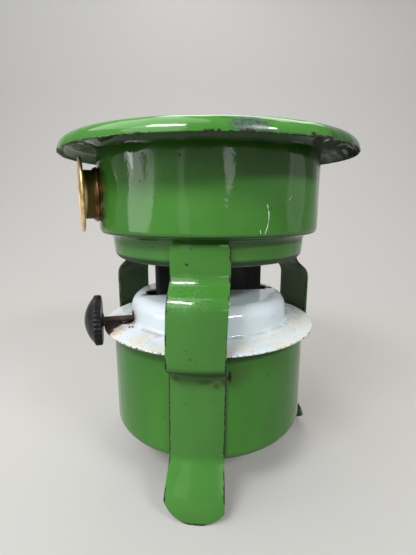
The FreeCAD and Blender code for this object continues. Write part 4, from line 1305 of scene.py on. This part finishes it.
def brass_material(name, bright, tarnish, share, roughness, shade_within=None):
    """Brass that darkens in cloudy patches, and as painted shade within a distance of the stove's axis
    where that is set.
    """
    finish = Finish(name, metallic=BRASS_METALLIC)
    cloudy = finish.ramp(finish.clouds(0.009, 5.0), 0.58 - 0.5 * share, 0.92 - 0.5 * share)
    if shade_within:
        # Painted shade: within the given distance of the axis the brass takes the tarnish colour.
        neck_shade = finish.ramp(finish.radius, shade_within + NECK_SHADE_EDGE, shade_within - NECK_SHADE_EDGE)
        cloudy = finish.either(cloudy, neck_shade)
    finish.relief(finish.clouds(0.0009, 3.0), 0.00003)
    roughness = finish.values(roughness, roughness + 0.25, cloudy)
    return finish.done(finish.colours(bright, tarnish, cloudy), roughness)


print("brass is metallic by", BRASS_METALLIC)

# %% [markdown]
# The same recipe now gives five brasses, from the rubbed flange of the window to the dull tube
# under the cover.

# %% Brass pieces
GOLD = (0.79, 0.57, 0.29)
BROWN = (0.15, 0.075, 0.022)
OLIVE = (0.125, 0.098, 0.022)
# The window's neck ends at this distance from the axis; inside it the brass is painted brown as shade.
WINDOW_NECK_END = 0.0828
dress("window_frame", brass_material("window_brass", GOLD, OLIVE, 0.22, 0.42, WINDOW_NECK_END))
dress("window_ring", brass_material("ring_brass", GOLD, BROWN, 0.45, 0.42))
dress("window_socket", brass_material("socket_brass", (0.34, 0.17, 0.07), (0.055, 0.035, 0.012), 0.5, 0.38))
for node in ("filler_neck", "filler_cap", "knob_insert"):
    dress(node, brass_material(node + "_brass", (0.56, 0.40, 0.15), (0.33, 0.22, 0.085), 0.4, 0.38))
for node in ("burner_plate", "wick_tube", "spindle_bearing_outer", "spindle_bearing_inner"):
    dress(node, brass_material(node + "_brass", (0.42, 0.29, 0.11), (0.10, 0.06, 0.028), 0.55, 0.48))

# %% [markdown]
# ## Plain steel, seals and grate
#
# The pieces under the cover are plain sheet, dulled by heat. The seals are dark cork, and the grate
# is a rough black casting, greyer where pots have rubbed its top.

# %% Steel
FRECKLE_BROWN = (0.16, 0.075, 0.032)


def steel_material(name, bright, dull, roughness):
    finish = Finish(name, metallic=1.0)
    tint = finish.patches(0.009, 5.0, 0.36, 0.66)
    colour = finish.colours(bright, dull, tint)
    colour = finish.colours(colour, FRECKLE_BROWN, finish.patches(0.0022, 4.0, 0.62, 0.70), 0.7)
    finish.relief(finish.clouds(0.0012, 3.0), 0.00003)
    return finish.done(colour, finish.values(roughness, roughness + 0.2, tint))


for node in ("neck_ring", "air_ring", "wick_wheel_outer", "wick_wheel_inner", "spindle_clip"):
    dress(node, steel_material(node + "_steel", (0.33, 0.31, 0.28), (0.16, 0.13, 0.10), 0.45))
dress("burner_screws", steel_material("screw_steel", (0.42, 0.40, 0.37), (0.20, 0.17, 0.14), 0.38))
dress("tank_top", steel_material("tinned_steel", (0.40, 0.39, 0.36), (0.22, 0.20, 0.17), 0.42))

# %% [markdown]
# Cork is a grain of light and dark crumbs. Cast iron is rough all over, and its top is rubbed
# smooth.

# %% Seals and grate
GRATE_TOP = (0.2222, 0.2231)


def seal_material():
    finish = Finish("cork_seal", 0.85)
    grains = finish.patches(0.0014, 3.0, 0.42, 0.60)
    finish.relief(grains, 0.00010)
    return finish.done(finish.colours((0.060, 0.036, 0.020), (0.022, 0.016, 0.012), grains))


def iron_material():
    finish = Finish("cast_iron", metallic=0.6)
    rubbed = finish.both(finish.ramp(finish.z, *GRATE_TOP), finish.patches(0.007, 4.0, 0.40, 0.62))
    colour = finish.colours((0.020, 0.019, 0.018), (0.115, 0.108, 0.100), rubbed)
    rusted = finish.patches(0.005, 5.0, 0.60, 0.72)
    colour = finish.colours(colour, (0.085, 0.036, 0.014), rusted, 0.6)
    finish.relief(finish.clouds(0.0011, 4.0), 0.00016)
    return finish.done(colour, finish.values(0.68, 0.42, rubbed))


for node in ("cap_gasket", "burner_gasket"):
    dress(node, seal_material())
dress("pot_grate", iron_material())

# %% [markdown]
# ## Mica and wick
#
# Mica is a clear amber mineral that splits into sheets; smoke browns it from its edge inwards. The
# wick is flat cotton webbing: pale below, charred black over its last few millimetres.

# %% Mica
AMBER = (0.72, 0.48, 0.20)
SMOKED = (0.30, 0.15, 0.045)
MICA_CLEAR = 0.65
MICA_IOR = 1.56


def mica_material():
    finish = Finish("amber_mica")
    leaves = finish.clouds(0.008, 5.0)
    finish.relief(finish.clouds(0.012, 2.0), 0.0003)
    finish.shader.inputs["Transmission Weight"].default_value = MICA_CLEAR
    finish.shader.inputs["IOR"].default_value = MICA_IOR
    smoked = finish.colours(AMBER, SMOKED, finish.ramp(leaves, 0.35, 0.68))
    return finish.done(smoked, finish.values(0.14, 0.40, leaves))


dress("mica_disc", mica_material())

# %% [markdown]
# The wick's weave is two waves across each other, along the wick and across it.

# %% Wick
WEAVE_ROW = 0.0016
WEAVE_LINE = 0.0024
COTTON = (0.60, 0.55, 0.44)
COTTON_SHADE = (0.40, 0.35, 0.26)
SOAKED = (0.20, 0.15, 0.09)
CHARRED = (0.012, 0.011, 0.010)
SOAKED_Z = (0.120, 0.126)
CHARRED_Z = (0.1290, 0.1315)


def wick_material():
    finish = Finish("cotton_wick", 0.9)
    turn = finish.tree.nodes.new("ShaderNodeMapping")
    turn.inputs["Rotation"].default_value = (0, 0, -math.atan2(SPINDLE_WAY.y, SPINDLE_WAY.x))
    finish.feed(turn.inputs["Vector"], finish.place)
    along, _, up = finish.axes(turn.outputs[0])
    rows = finish.math("SINE", finish.math("MULTIPLY", up, 2 * math.pi / WEAVE_ROW))
    lines = finish.math("SINE", finish.math("MULTIPLY", along, 2 * math.pi / WEAVE_LINE))
    weave = finish.math("MULTIPLY", rows, lines)
    finish.relief(weave, 0.00025)
    colour = finish.colours(COTTON_SHADE, COTTON, finish.ramp(weave, -0.8, 0.8))
    colour = finish.colours(colour, SOAKED, finish.ramp(finish.z, *SOAKED_Z))
    ragged = finish.math("ADD", finish.z, finish.math("MULTIPLY", finish.clouds(0.003), 0.003))
    return finish.done(finish.colours(colour, CHARRED, finish.ramp(ragged, *CHARRED_Z)))


dress("wick", wick_material())

# %% [markdown]
